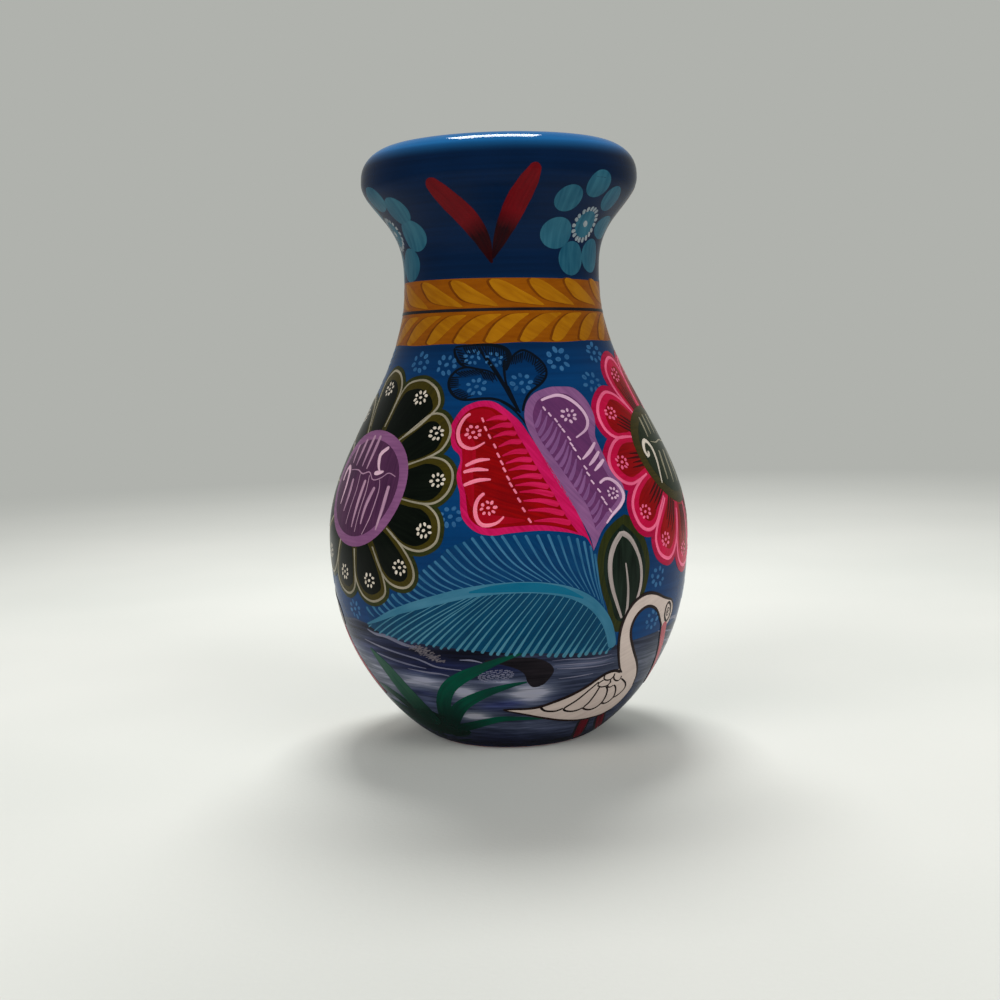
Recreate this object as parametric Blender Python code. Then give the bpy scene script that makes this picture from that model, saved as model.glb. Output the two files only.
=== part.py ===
"""Small painted terracotta vase, built the way a potter lutes it together.

The body is a stack of clay rings that share one turning axis: a floor, a lower bowl, a
shoulder bowl, a neck, a flared mouth and a rolled lip. Each ring ends in a raised tongue
that enters a rebate in the ring above, and sits on a thin bed of slip on the ledge beside
the tongue. The outside follows one smooth wall curve from the foot to the lip.

Metres, +Z up. The origin is the middle of the foot, on the surface that the vase stands on.
"""
import math

import bmesh
import bpy

# Heights of the sections, each one standing on the one before
BELLY_HEIGHT = 0.0529       # foot to the widest line
SHOULDER_RISE = 0.0471      # widest line to the foot of the neck
NECK_RISE = 0.0157          # foot of the neck to the narrowest line, the throat
FLARE_RISE = 0.0255         # throat to the widest line of the lip
LIP_RISE = 0.0092           # widest line of the lip to the top

# Radii of the outside, and of the opening
FOOT_RADIUS = 0.0210
BELLY_RADIUS = 0.0464
THROAT_RADIUS = 0.0252
LIP_RADIUS = 0.0353
LIP_TOP_RADIUS = 0.0267     # highest line of the rolled lip
MOUTH_RADIUS = 0.0240

# Clay thickness
WALL = 0.0048
FLOOR = 0.0080

# Shape of the wall curve between those lines: 1 is a plain curve
FOOT_ROUNDING = 1.192       # how quickly the foot turns up into the wall
BOWL_FULLNESS = 2.431       # how early the bowl reaches its width
SHOULDER_DROP = 0.955       # how long the shoulder stays full
FLARE_HOLD = 1.680          # how long the throat stays narrow before it opens
LIP_ROUNDING = (1.75, 2.2)  # across and up: 2 and 2 is an ellipse, less is more pointed

# Joints between the rings
TONGUE = 0.0030             # height of a tongue over its ledge
SLIP = 0.0008               # thickness of the bed of slip
CLEARANCE = 0.0003          # around and over a tongue

SEGMENTS = 48               # facets around the axis

# Heights that follow
NECK_FOOT = BELLY_HEIGHT + SHOULDER_RISE
THROAT_HEIGHT = NECK_FOOT + NECK_RISE
LIP_HEIGHT = THROAT_HEIGHT + FLARE_RISE
HEIGHT = LIP_HEIGHT + LIP_RISE
THROAT_BORE = THROAT_RADIUS - WALL

# Steps up one side of each section
FLOOR_STEPS = 4
BOWL_STEPS = 10
SHOULDER_STEPS = 9
NECK_STEPS = 3
FLARE_STEPS = 7
LIP_STEPS = 10

SLOPE_STEP = 0.0001         # half of the height over which a slope is measured
SHARP_ANGLE = math.radians(35)

# Colour, roughness and metallic value of each finish
FINISHES = {
    "bare_clay": ((0.46, 0.20, 0.11), 0.85, 0.0),
    "slip_clay": ((0.55, 0.27, 0.16), 0.90, 0.0),
    "blue_paint": ((0.006, 0.045, 0.16), 0.18, 0.0),
    "gold_paint": ((0.42, 0.20, 0.015), 0.22, 0.0),
}


def between(start, end, share):
    """Value that lies a share of the way from start to end."""
    return start + (end - start) * share


def heights(low, high, steps):
    """Evenly spaced heights from low to high, both included."""
    return [between(low, high, i / steps) for i in range(steps + 1)]


def outer_radius(z):
    """Outside of the wall at a height."""
    if z < BELLY_HEIGHT:
        down = 1 - z / BELLY_HEIGHT
        share = (1 - down ** BOWL_FULLNESS) ** (1 / FOOT_ROUNDING)
        return between(FOOT_RADIUS, BELLY_RADIUS, share)
    if z < THROAT_HEIGHT:
        up = ((z - BELLY_HEIGHT) / (THROAT_HEIGHT - BELLY_HEIGHT)) ** SHOULDER_DROP
        return between(THROAT_RADIUS, BELLY_RADIUS, (1 + math.cos(math.pi * up)) / 2)
    up = min((z - THROAT_HEIGHT) / FLARE_RISE, 1) ** FLARE_HOLD
    return between(THROAT_RADIUS, LIP_RADIUS, (1 - math.cos(math.pi * up)) / 2)


def inner_radius(z):
    """Inside of the wall at a height: WALL thick square to the wall, and thicker at the lip."""
    if z < THROAT_HEIGHT:
        rise = outer_radius(z + SLOPE_STEP) - outer_radius(z - SLOPE_STEP)
        slope = rise / (2 * SLOPE_STEP)
        return outer_radius(z) - WALL * math.hypot(1, slope)
    up = min((z - THROAT_HEIGHT) / FLARE_RISE, 1) ** FLARE_HOLD
    return between(THROAT_BORE, MOUTH_RADIUS, (1 - math.cos(math.pi * up)) / 2)


def tongue_radius(ledge):
    """Outside of the tongue over a ledge: the middle of the wall, half-way up the tongue."""
    middle = ledge + TONGUE / 2
    return (outer_radius(middle) + inner_radius(middle)) / 2


def outside(low, high, steps):
    """Outline down the outside of the wall, from high to low."""
    return [(outer_radius(z), z) for z in reversed(heights(low, high, steps))]


def inside(low, high, steps):
    """Outline up the inside of the wall, from low to high."""
    return [(inner_radius(z), z) for z in heights(low, high, steps)]


def wall_top(ledge):
    """Upper end of a ring: up the tongue, over it and down to the ledge outside it."""
    radius = tongue_radius(ledge)
    return [(radius, ledge + TONGUE), (radius, ledge)]


def wall_foot(ledge):
    """Lower end of a ring: across the bed of slip, up the rebate and over the tongue."""
    radius = tongue_radius(ledge) + CLEARANCE
    return [(radius, ledge + SLIP), (radius, ledge + TONGUE + CLEARANCE)]


def slip_bed(ledge, inner, outer_foot, outer_top):
    """Square ring of slip on a ledge."""
    top = ledge + SLIP
    return [(outer_top, top), (outer_foot, ledge), (inner, ledge), (inner, top)]


def make_wall_slip(name, ledge, inner):
    """Bed of slip from a radius out to the face of the wall."""
    outline = slip_bed(ledge, inner, outer_radius(ledge), outer_radius(ledge + SLIP))
    turned(name, outline, "slip_clay")


def finish(name):
    """Principled material of one finish."""
    material = bpy.data.materials.get(name)
    if material is None:
        colour, roughness, metallic = FINISHES[name]
        material = bpy.data.materials.new(name)
        material.use_nodes = True
        shader = material.node_tree.nodes["Principled BSDF"]
        shader.inputs["Base Color"].default_value = (*colour, 1)
        shader.inputs["Roughness"].default_value = roughness
        shader.inputs["Metallic"].default_value = metallic
    return material


def turned(name, outline, finish_name):
    """Object turned about Z from an outline of its section.

    An outline that starts and ends on the axis is left open there, and any other is closed.
    """
    bm = bmesh.new()
    points = [bm.verts.new((radius, 0, z)) for radius, z in outline]
    edges = [bm.edges.new(pair) for pair in zip(points, points[1:])]
    if outline[0][0] > 0:
        edges.append(bm.edges.new((points[-1], points[0])))
    bmesh.ops.spin(bm, geom=points + edges, cent=(0, 0, 0), axis=(0, 0, 1),
                   angle=math.tau, steps=SEGMENTS, use_merge=True)
    bmesh.ops.remove_doubles(bm, verts=bm.verts, dist=1e-6)
    bmesh.ops.recalc_face_normals(bm, faces=bm.faces)
    mesh = bpy.data.meshes.new(name)
    bm.to_mesh(mesh)
    bm.free()
    mesh.shade_smooth()
    mesh.set_sharp_from_angle(angle=SHARP_ANGLE)
    mesh.materials.append(finish(finish_name))
    thing = bpy.data.objects.new(name, mesh)
    bpy.context.scene.collection.objects.link(thing)
    return thing


def make_floor():
    """Slab that the vase stands on: its middle rises as a plug into the lower bowl."""
    ledge = FLOOR - TONGUE
    plug = inner_radius(FLOOR) - CLEARANCE
    rim = outside(0, ledge, FLOOR_STEPS)
    outline = [(0, FLOOR), (plug, FLOOR), (plug, ledge), *rim, (0, 0)]
    turned("floor_disc", outline, "bare_clay")
    make_wall_slip("floor_slip", ledge, inner_radius(FLOOR))


def make_lower_bowl():
    """Lower half of the body, from the floor to the widest line."""
    foot = FLOOR - TONGUE + SLIP
    outline = inside(FLOOR, BELLY_HEIGHT + TONGUE, BOWL_STEPS)
    outline += wall_top(BELLY_HEIGHT)
    outline += outside(foot, BELLY_HEIGHT, BOWL_STEPS)
    outline += [(inner_radius(FLOOR), foot)]
    turned("lower_bowl", outline, "blue_paint")
    make_wall_slip("belly_slip", BELLY_HEIGHT, tongue_radius(BELLY_HEIGHT) + CLEARANCE)


def make_shoulder_bowl():
    """Upper half of the body, from the widest line to the foot of the neck."""
    outline = wall_foot(BELLY_HEIGHT)
    outline += inside(BELLY_HEIGHT + TONGUE + CLEARANCE, NECK_FOOT + TONGUE, SHOULDER_STEPS)
    outline += wall_top(NECK_FOOT)
    outline += outside(BELLY_HEIGHT + SLIP, NECK_FOOT, SHOULDER_STEPS)
    turned("shoulder_bowl", outline, "blue_paint")
    make_wall_slip("neck_slip", NECK_FOOT, tongue_radius(NECK_FOOT) + CLEARANCE)


def make_neck():
    """Short ring that closes the shoulder in to the throat."""
    outline = wall_foot(NECK_FOOT)
    outline += inside(NECK_FOOT + TONGUE + CLEARANCE, THROAT_HEIGHT + TONGUE, NECK_STEPS)
    outline += wall_top(THROAT_HEIGHT)
    outline += outside(NECK_FOOT + SLIP, THROAT_HEIGHT, NECK_STEPS)
    turned("neck_collar", outline, "gold_paint")
    make_wall_slip("throat_slip", THROAT_HEIGHT, tongue_radius(THROAT_HEIGHT) + CLEARANCE)


def lip_tongue():
    """Inner and outer radius of the tongue under the lip: the middle third of the wall."""
    return between(MOUTH_RADIUS, LIP_RADIUS, 1 / 3), between(MOUTH_RADIUS, LIP_RADIUS, 2 / 3)


def make_mouth_flare():
    """Trumpet from the throat to the lip, with its tongue in the middle of the thick wall."""
    tongue_in, tongue_out = lip_tongue()
    top = LIP_HEIGHT + TONGUE
    outline = wall_foot(THROAT_HEIGHT)
    outline += inside(THROAT_HEIGHT + TONGUE + CLEARANCE, LIP_HEIGHT, FLARE_STEPS)
    outline += [(tongue_in, LIP_HEIGHT), (tongue_in, top), (tongue_out, top), (tongue_out, LIP_HEIGHT)]
    outline += outside(THROAT_HEIGHT + SLIP, LIP_HEIGHT, FLARE_STEPS)
    turned("mouth_flare", outline, "blue_paint")
    outer_bed = slip_bed(LIP_HEIGHT, tongue_out + CLEARANCE, LIP_RADIUS, LIP_RADIUS)
    inner_bed = slip_bed(LIP_HEIGHT, MOUTH_RADIUS, tongue_in - CLEARANCE, tongue_in - CLEARANCE)
    turned("lip_slip_outer", outer_bed, "slip_clay")
    turned("lip_slip_inner", inner_bed, "slip_clay")


def make_lip_roll():
    """Rolled coil that finishes the mouth, with a groove for the tongue."""
    tongue_in, tongue_out = lip_tongue()
    foot = LIP_HEIGHT + SLIP
    roof = LIP_HEIGHT + TONGUE + CLEARANCE
    across, up = LIP_ROUNDING
    outline = []
    for i in range(LIP_STEPS + 1):
        angle = math.pi * (1 - i / LIP_STEPS)
        side = MOUTH_RADIUS if math.cos(angle) < 0 else LIP_RADIUS
        radius = between(LIP_TOP_RADIUS, side, abs(math.cos(angle)) ** (2 / across))
        outline.append((radius, between(foot, HEIGHT, math.sin(angle) ** (2 / up))))
    groove_in = tongue_in - CLEARANCE
    groove_out = tongue_out + CLEARANCE
    outline += [(groove_out, foot), (groove_out, roof), (groove_in, roof), (groove_in, foot)]
    turned("lip_roll", outline, "blue_paint")


for thing in list(bpy.data.objects):
    bpy.data.objects.remove(thing)
make_floor()
make_lower_bowl()
make_shoulder_bowl()
make_neck()
make_mouth_flare()
make_lip_roll()
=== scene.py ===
"""Looks of the small painted vase: terracotta, ground coat, painted motifs and clear lacquer.

Places on the wall are (turn, height): degrees round from the front, to the right, and
millimetres up from the foot. Sizes are in millimetres unless a name says otherwise.
"""
import bisect
import math
import random

import bmesh
import bpy
from mathutils import Matrix, Vector
from mathutils.geometry import delaunay_2d_cdt


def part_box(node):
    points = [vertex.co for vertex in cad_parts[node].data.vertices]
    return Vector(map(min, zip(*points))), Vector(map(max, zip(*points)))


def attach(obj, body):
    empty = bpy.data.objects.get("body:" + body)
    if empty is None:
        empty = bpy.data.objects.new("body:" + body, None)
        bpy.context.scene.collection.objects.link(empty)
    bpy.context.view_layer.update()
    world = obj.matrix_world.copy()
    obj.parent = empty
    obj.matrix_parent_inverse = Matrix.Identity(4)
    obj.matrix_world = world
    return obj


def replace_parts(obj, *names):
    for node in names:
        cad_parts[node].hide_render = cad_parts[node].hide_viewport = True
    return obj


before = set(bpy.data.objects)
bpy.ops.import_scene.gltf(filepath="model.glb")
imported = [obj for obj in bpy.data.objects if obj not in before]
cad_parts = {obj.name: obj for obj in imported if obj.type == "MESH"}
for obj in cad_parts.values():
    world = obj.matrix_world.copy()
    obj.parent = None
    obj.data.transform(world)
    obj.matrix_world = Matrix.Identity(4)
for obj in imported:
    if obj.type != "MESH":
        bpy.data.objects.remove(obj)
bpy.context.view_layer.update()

# Clay rings
# Terracotta thrown as six rings and luted together with slip. The outside is turned smooth
# and lies just under the paint. The throwing ridges stay on the inside.
MM = 0.001
CLAY_DEPTH = 0.40           # clay under the outline that the rings were drawn to
FOOT_RADIUS = 21.0
LIP_TOP_RADIUS = 26.7
MOUTH_RADIUS = 24.0
WALL = 4.8
FLOOR = 8.0
TONGUE = 3.0
CLEARANCE = 0.3
FOOT_ROUNDING = 1.192
BOWL_FULLNESS = 2.431
SHOULDER_DROP = 0.955
FLARE_HOLD = 1.680
LIP_ROUNDING = (1.75, 2.2)
RIDGE_PITCH = 3.4           # height of one turn of the throwing ridge
RIDGE = 0.14
COLUMNS = 240
WALL_STEP = 1.0
LIP_STEPS = 24
SLOPE_REACH = 0.05          # how far each way the slope of the wall is taken
WELD = 1e-7                 # points nearer than this, in metres, are one
CRISP = math.radians(40)    # edges that turn more than this stay crisp
GROG = (214, 168, 132)


def corners(node):
    """Lowest and highest corners of a node, in millimetres."""
    low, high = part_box(node)
    return low / MM, high / MM


FLOOR_LEDGE = corners("floor_slip")[0].z
SLIP = corners("floor_slip")[1].z - FLOOR_LEDGE
BELLY_HEIGHT = corners("belly_slip")[0].z
NECK_FOOT = corners("neck_slip")[0].z
THROAT_HEIGHT = corners("throat_slip")[0].z
LIP_HEIGHT = corners("lip_slip_outer")[0].z
LIP_FOOT = LIP_HEIGHT + SLIP
TOP_HEIGHT = corners("lip_roll")[1].z
BELLY_RADIUS = corners("belly_slip")[1].x
THROAT_RADIUS = corners("throat_slip")[1].x
LIP_RADIUS = corners("lip_slip_outer")[1].x


def between(start, end, share):
    """Value that lies a share of the way from start to end."""
    return start + (end - start) * share


def steps(low, high, step):
    """Evenly spaced values from low to high, both included."""
    count = max(1, math.ceil(abs(high - low) / step))
    return [between(low, high, i / count) for i in range(count + 1)]


def flare(height):
    """How far the mouth has opened at a height: 0 at the throat and 1 under the lip."""
    up = min((height - THROAT_HEIGHT) / (LIP_HEIGHT - THROAT_HEIGHT), 1) ** FLARE_HOLD
    return (1 - math.cos(math.pi * up)) / 2


def wall_radius(height):
    """Outside of the vase at a height."""
    if height < BELLY_HEIGHT:
        down = 1 - max(height, 0) / BELLY_HEIGHT
        share = (1 - down ** BOWL_FULLNESS) ** (1 / FOOT_ROUNDING)
        return between(FOOT_RADIUS, BELLY_RADIUS, share)
    if height < THROAT_HEIGHT:
        up = ((height - BELLY_HEIGHT) / (THROAT_HEIGHT - BELLY_HEIGHT)) ** SHOULDER_DROP
        return between(THROAT_RADIUS, BELLY_RADIUS, (1 + math.cos(math.pi * up)) / 2)
    if height < LIP_FOOT:
        return between(THROAT_RADIUS, LIP_RADIUS, flare(height))
    across, up = LIP_ROUNDING
    share = min((height - LIP_FOOT) / (TOP_HEIGHT - LIP_FOOT), 1)
    return between(LIP_TOP_RADIUS, LIP_RADIUS, (1 - share ** up) ** (1 / across))


def wall_slope(height):
    """Change of the outside radius for each millimetre up."""
    rise = wall_radius(height + SLOPE_REACH) - wall_radius(height - SLOPE_REACH)
    return rise / (2 * SLOPE_REACH)


def inside_radius(height):
    """Inside of the wall at a height, before the ridges."""
    if height < THROAT_HEIGHT:
        return wall_radius(height) - WALL * math.hypot(1, wall_slope(height))
    return between(THROAT_RADIUS - WALL, MOUTH_RADIUS, flare(height))


def clay_outside(low, high):
    """Outline down the clay under the paint, from high to low."""
    outline = []
    for height in steps(high, low, WALL_STEP):
        outline.append((wall_radius(height) - CLAY_DEPTH * math.hypot(1, wall_slope(height)), height))
    return outline


def clay_inside(turn, low, high):
    """Outline up the inside, with the spiral ridge that the fingers left."""
    outline = []
    for height in steps(low, high, WALL_STEP / 2):
        ridge = math.sin(math.tau * height / RIDGE_PITCH - math.radians(turn))
        outline.append((inside_radius(height) - RIDGE * (1 + ridge), height))
    return outline


def tongue_radius(ledge):
    """Outside of the tongue over a ledge: the middle of the wall, half-way up the tongue."""
    middle = ledge + TONGUE / 2
    return (wall_radius(middle) + inside_radius(middle)) / 2


def upright(turn, radius, height):
    """Point at a turn, radius and height."""
    angle = math.radians(turn)
    return Vector((radius * math.sin(angle), -radius * math.cos(angle), height)) * MM


def add_piece(name, points, faces, material):
    """Object that rides on the vase."""
    mesh = bpy.data.meshes.new(name)
    mesh.from_pydata(points, [], faces)
    mesh.shade_smooth()
    mesh.materials.append(material)
    piece = bpy.data.objects.new(name, mesh)
    bpy.context.scene.collection.objects.link(piece)
    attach(piece, "root")
    return piece


def turned(name, section, material, closed=True, columns=COLUMNS):
    """Object turned about the axis, from its section at each turn."""
    points = []
    for column in range(columns):
        turn = 360 * column / columns
        points += [upright(turn, radius, height) for radius, height in section(turn)]
    rows = len(points) // columns
    faces = []
    for column in range(columns):
        here = column * rows
        there = (column + 1) % columns * rows
        for row in range(rows if closed else rows - 1):
            up = (row + 1) % rows
            faces.append((here + row, there + row, there + up, here + up))
    piece = add_piece(name, points, faces, material)
    bm = bmesh.new()
    bm.from_mesh(piece.data)
    bmesh.ops.remove_doubles(bm, verts=bm.verts, dist=WELD)
    bmesh.ops.recalc_face_normals(bm, faces=bm.faces)
    bm.to_mesh(piece.data)
    bm.free()
    piece.data.shade_smooth()
    piece.data.set_sharp_from_angle(angle=CRISP)
    return piece


class Wire:
    """Output of a shader node. Sums with it add Math nodes."""

    def __init__(self, finish, socket):
        self.finish = finish
        self.socket = socket

    def maths(self, operation, *values):
        return self.finish.node("ShaderNodeMath", {"operation": operation}, dict(enumerate(values)))

    def __add__(self, other):
        return self.maths("ADD", self, other)

    def __radd__(self, other):
        return self.maths("ADD", other, self)

    def __sub__(self, other):
        return self.maths("SUBTRACT", self, other)

    def __rsub__(self, other):
        return self.maths("SUBTRACT", other, self)

    def __mul__(self, other):
        return self.maths("MULTIPLY", self, other)

    def __rmul__(self, other):
        return self.maths("MULTIPLY", other, self)

    def within(self, low, high):
        """The value as a share of the way from low to high, kept between 0 and 1."""
        sockets = {"Value": self, "From Min": low, "From Max": high}
        return self.finish.node("ShaderNodeMapRange", {"clamp": True}, sockets)


class Finish:
    """Shader nodes of one finish, or of the world round the vase."""

    def __init__(self, name, shelf="materials"):
        self.owner = getattr(bpy.data, shelf).new(name)
        self.owner.use_nodes = True
        self.tree = self.owner.node_tree
        self.tree.nodes.clear()

    def node(self, kind, settings=None, sockets=None, output=0):
        """Node of a kind with its settings, then the values or wires of its sockets."""
        node = self.tree.nodes.new(kind)
        for key, value in (settings or {}).items():
            if key == "stops":
                self.set_stops(node.color_ramp.elements, value)
            else:
                setattr(node, key, value)
        for key, value in (sockets or {}).items():
            if isinstance(value, Wire):
                self.tree.links.new(value.socket, node.inputs[key])
            else:
                node.inputs[key].default_value = value
        return Wire(self, node.outputs[output]) if node.outputs else None

    def set_stops(self, elements, stops):
        """Colour stops of a ramp: position and colour of each."""
        for position, colour in stops[1:-1]:
            elements.new(position)
        for element, (position, colour) in zip(elements, stops):
            element.position = position
            element.color = colour

    def mixed(self, factor, first, second):
        """Colour a share of the way from first to second. The Mix node has its colours at 6 and 7."""
        return self.node("ShaderNodeMix", {"data_type": "RGBA"}, {0: factor, 6: first, 7: second}, output=2)

    def noise(self, vector, scale, detail=2):
        """Soft noise from 0 to 1."""
        sockets = {"Vector": vector, "Scale": scale, "Detail": detail}
        return self.node("ShaderNodeTexNoise", None, sockets)

    def stretched(self, vector, scales):
        """Vector with each axis multiplied by its own number."""
        return self.node("ShaderNodeVectorMath", {"operation": "MULTIPLY"}, {0: vector, 1: scales})

    def bump(self, height, distance, strength=1.0):
        """Normal raised by a height."""
        sockets = {"Height": height, "Distance": distance, "Strength": strength}
        return self.node("ShaderNodeBump", None, sockets)

    def finished(self, shader, kind="ShaderNodeOutputMaterial"):
        """What the nodes belong to, with a shader as its surface."""
        self.node(kind, None, {"Surface": shader})
        return self.owner

    def surface(self, sockets):
        """Material whose surface is a Principled shader."""
        return self.finished(self.node("ShaderNodeBsdfPrincipled", None, sockets))


def tint(red, green, blue):
    """Colour from screen values of 0 to 255."""
    def light(value):
        share = value / 255
        return share / 12.92 if share <= 0.04045 else ((share + 0.055) / 1.055) ** 2.4
    return (light(red), light(green), light(blue), 1)


def clay_finish(name, pale, dark):
    """Fired clay: clouded, speckled with grog, and drawn out in fine lines by the wheel."""
    finish = Finish(name)
    place = finish.node("ShaderNodeTexCoord", output="Object")
    cloud = finish.noise(place, 45, detail=4)
    lines = finish.noise(finish.stretched(place, (30, 30, 1500)), 1, detail=3)
    grain = finish.noise(place, 2600, detail=2)
    grog = grain.within(0.64, 0.72)
    shade = (cloud * 0.55 + lines * 0.45).within(0.35, 0.65)
    body = finish.mixed(shade, tint(*dark), tint(*pale))
    colour = finish.mixed(grog * 0.55, body, tint(*GROG))
    relief = grain * 0.5 + lines
    return finish.surface({
        "Base Color": colour,
        "Roughness": 0.78 + cloud * 0.2,
        "Specular IOR Level": 0.25,
        "Normal": finish.bump(relief, 0.00008, strength=0.6),
    })


terracotta = clay_finish("terracotta", pale=(192, 112, 76), dark=(158, 84, 56))


def wall_ring(foot, ledge):
    """Section of a ring of the wall: rebate at its foot, tongue at its top."""
    rebate = tongue_radius(foot) + CLEARANCE
    tongue = tongue_radius(ledge)
    start = foot + TONGUE + CLEARANCE

    def section(turn):
        outline = [(rebate, foot + SLIP), (rebate, start), *clay_inside(turn, start, ledge + TONGUE)]
        outline += [(tongue, ledge + TONGUE), (tongue, ledge)]
        return outline + clay_outside(foot + SLIP, ledge)
    return section


def floor_section(turn):
    """Slab whose middle rises as a plug into the lower bowl."""
    plug = inside_radius(FLOOR) - CLEARANCE
    outline = [(0, FLOOR), (plug, FLOOR), (plug, FLOOR_LEDGE)]
    return outline + clay_outside(0, FLOOR_LEDGE) + [(0, 0)]


def lower_bowl_section(turn):
    """Bowl with a plain foot that beds on the slab."""
    tongue = tongue_radius(BELLY_HEIGHT)
    outline = clay_inside(turn, FLOOR, BELLY_HEIGHT + TONGUE)
    outline += [(tongue, BELLY_HEIGHT + TONGUE), (tongue, BELLY_HEIGHT)]
    outline += clay_outside(FLOOR_LEDGE + SLIP, BELLY_HEIGHT)
    return outline + [(inside_radius(FLOOR), FLOOR_LEDGE + SLIP)]


LIP_TONGUE_IN = between(MOUTH_RADIUS, LIP_RADIUS, 1 / 3)
LIP_TONGUE_OUT = between(MOUTH_RADIUS, LIP_RADIUS, 2 / 3)


def mouth_flare_section(turn):
    """Trumpet with a rebate at its foot and a tongue in the middle of its thick top."""
    rebate = tongue_radius(THROAT_HEIGHT) + CLEARANCE
    start = THROAT_HEIGHT + TONGUE + CLEARANCE
    top = LIP_HEIGHT + TONGUE
    outline = [(rebate, THROAT_HEIGHT + SLIP), (rebate, start), *clay_inside(turn, start, LIP_HEIGHT)]
    outline += [(LIP_TONGUE_IN, LIP_HEIGHT), (LIP_TONGUE_IN, top)]
    outline += [(LIP_TONGUE_OUT, top), (LIP_TONGUE_OUT, LIP_HEIGHT)]
    return outline + clay_outside(THROAT_HEIGHT + SLIP, LIP_HEIGHT)


def rolled(depth, start, end):
    """Outline over the lip at a depth, from angle start to angle end: 180 is the mouth side."""
    across, up = LIP_ROUNDING
    outline = []
    for degrees in steps(start, end, 180 / LIP_STEPS):
        angle = math.radians(degrees)
        side = MOUTH_RADIUS + depth if math.cos(angle) < 0 else LIP_RADIUS - depth
        radius = between(LIP_TOP_RADIUS, side, abs(math.cos(angle)) ** (2 / across))
        rise = max(math.sin(angle), 0) ** (2 / up)
        outline.append((radius, between(LIP_FOOT, TOP_HEIGHT - depth, rise)))
    return outline


def lip_section(turn):
    """Rolled coil with a groove for the tongue."""
    roof = LIP_HEIGHT + TONGUE + CLEARANCE
    groove_out = LIP_TONGUE_OUT + CLEARANCE
    groove_in = LIP_TONGUE_IN - CLEARANCE
    groove = [(groove_out, LIP_FOOT), (groove_out, roof), (groove_in, roof), (groove_in, LIP_FOOT)]
    return rolled(CLAY_DEPTH, 180, 0) + groove


for node, section in (
    ("floor_disc", floor_section),
    ("lower_bowl", lower_bowl_section),
    ("shoulder_bowl", wall_ring(BELLY_HEIGHT, NECK_FOOT)),
    ("neck_collar", wall_ring(NECK_FOOT, THROAT_HEIGHT)),
    ("mouth_flare", mouth_flare_section),
    ("lip_roll", lip_section),
):
    ring = turned(node + "_clay", section, terracotta)
    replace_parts(ring, node)

# Beds of slip
# Liquid clay brushed on each ledge, which squeezed to a thin bed as the next ring went on.
# It fires a little paler than the rings. The coat of paint covers its edges.
SQUEEZE = 0.12              # how far the bed under the lip stands into the mouth
slip_clay = clay_finish("slip_clay", pale=(204, 138, 100), dark=(178, 108, 76))


def under_wall(height):
    """Radius of the clay under the paint at a height."""
    return wall_radius(height) - CLAY_DEPTH * math.hypot(1, wall_slope(height))


def bed_section(ledge, inner, outer_low, outer_high, bulge):
    """Bed whose inner edge stands proud of the wall by a bulge, as it squeezed out."""
    def section(turn):
        squeezed = bulge * (0.6 + 0.4 * math.sin(3 * math.radians(turn) + ledge))
        top = ledge + SLIP
        edge = (inner - squeezed, ledge + SLIP / 2)
        return [(outer_high, top), (outer_low, ledge), (inner, ledge), edge, (inner, top)]
    return section


for node, ledge, inner in (
    ("floor_slip", FLOOR_LEDGE, inside_radius(FLOOR)),
    ("belly_slip", BELLY_HEIGHT, tongue_radius(BELLY_HEIGHT) + CLEARANCE),
    ("neck_slip", NECK_FOOT, tongue_radius(NECK_FOOT) + CLEARANCE),
    ("throat_slip", THROAT_HEIGHT, tongue_radius(THROAT_HEIGHT) + CLEARANCE),
    ("lip_slip_outer", LIP_HEIGHT, LIP_TONGUE_OUT + CLEARANCE),
):
    section = bed_section(ledge, inner, under_wall(ledge), under_wall(ledge + SLIP), 0)
    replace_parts(turned(node + "_bed", section, slip_clay), node)
inner_bed_edge = LIP_TONGUE_IN - CLEARANCE
section = bed_section(LIP_HEIGHT, MOUTH_RADIUS, inner_bed_edge, inner_bed_edge, SQUEEZE)
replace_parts(turned("lip_slip_inner_bed", section, slip_clay), "lip_slip_inner")

# Ground coat
# Deep blue acrylic brushed round the vase on the wheel, over the lip and a little way down
# the mouth, where the brush stopped unevenly. Clear gloss lacquer covers it.
GROUND_DEPTH = 0.33         # ground coat under the outline that the rings were drawn to
GROUND_THICKNESS = 0.05
GROUND_FOOT = 0.12          # where the coat stops above the table
MOUTH_REACH = 5.0           # how far down the mouth the coat goes
LIP_COAT_END = 172          # degrees over the lip from which the coat slopes in over the slip
FOOT_WAVER = 0.04           # how unevenly the coat ends at the foot
MOUTH_WAVER = 0.5           # and in the mouth
GROUND_EDGE = 0.1           # height over which the coat comes to its thickness
GROUND_COLUMNS = 300
GROUND_STEP = 0.7
WAVES = (
    # height of the wave, waves round the vase, millimetres up for a radian, start
    (0.022, 2, 9, 0), (0.015, 5, -6, 1), (0.008, 11, 3, 2),
)
FOOT_SHADE_LACQUER_RISE = (0.001, 0.024)       # metres up between which the lacquer thickens: painted shade, the foot mirrors less
ROPE_PAINTED_SHADE = (0.094, 0.100)         # and painted shade deepens the blue under the ropes
NECK_PAINTED_SHADE = (0.110, 0.117)         # and over them, all the way up the neck
LIP_PAINTED_LIGHT = (0.1443, 0.1477)        # and painted light brightens it over the lip
LACQUER = {
    "Specular IOR Level": 0.0,
    "Coat Roughness": 0.035,
    "Coat IOR": 1.22,
}


def unevenness(turn, height):
    """Slight waves of a wall shaped by hand, the same for every layer of paint."""
    angle = math.radians(turn)
    return sum(
        rise * math.sin(count * angle + height / pitch + start) for rise, count, pitch, start in WAVES
    )


def brush_edge(turn, reach):
    """Uneven line where a turning brush stopped."""
    angle = math.radians(turn)
    return reach * (math.sin(3 * angle) + 0.6 * math.sin(7 * angle + 1) + 0.4 * math.sin(16 * angle + 2))


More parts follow.
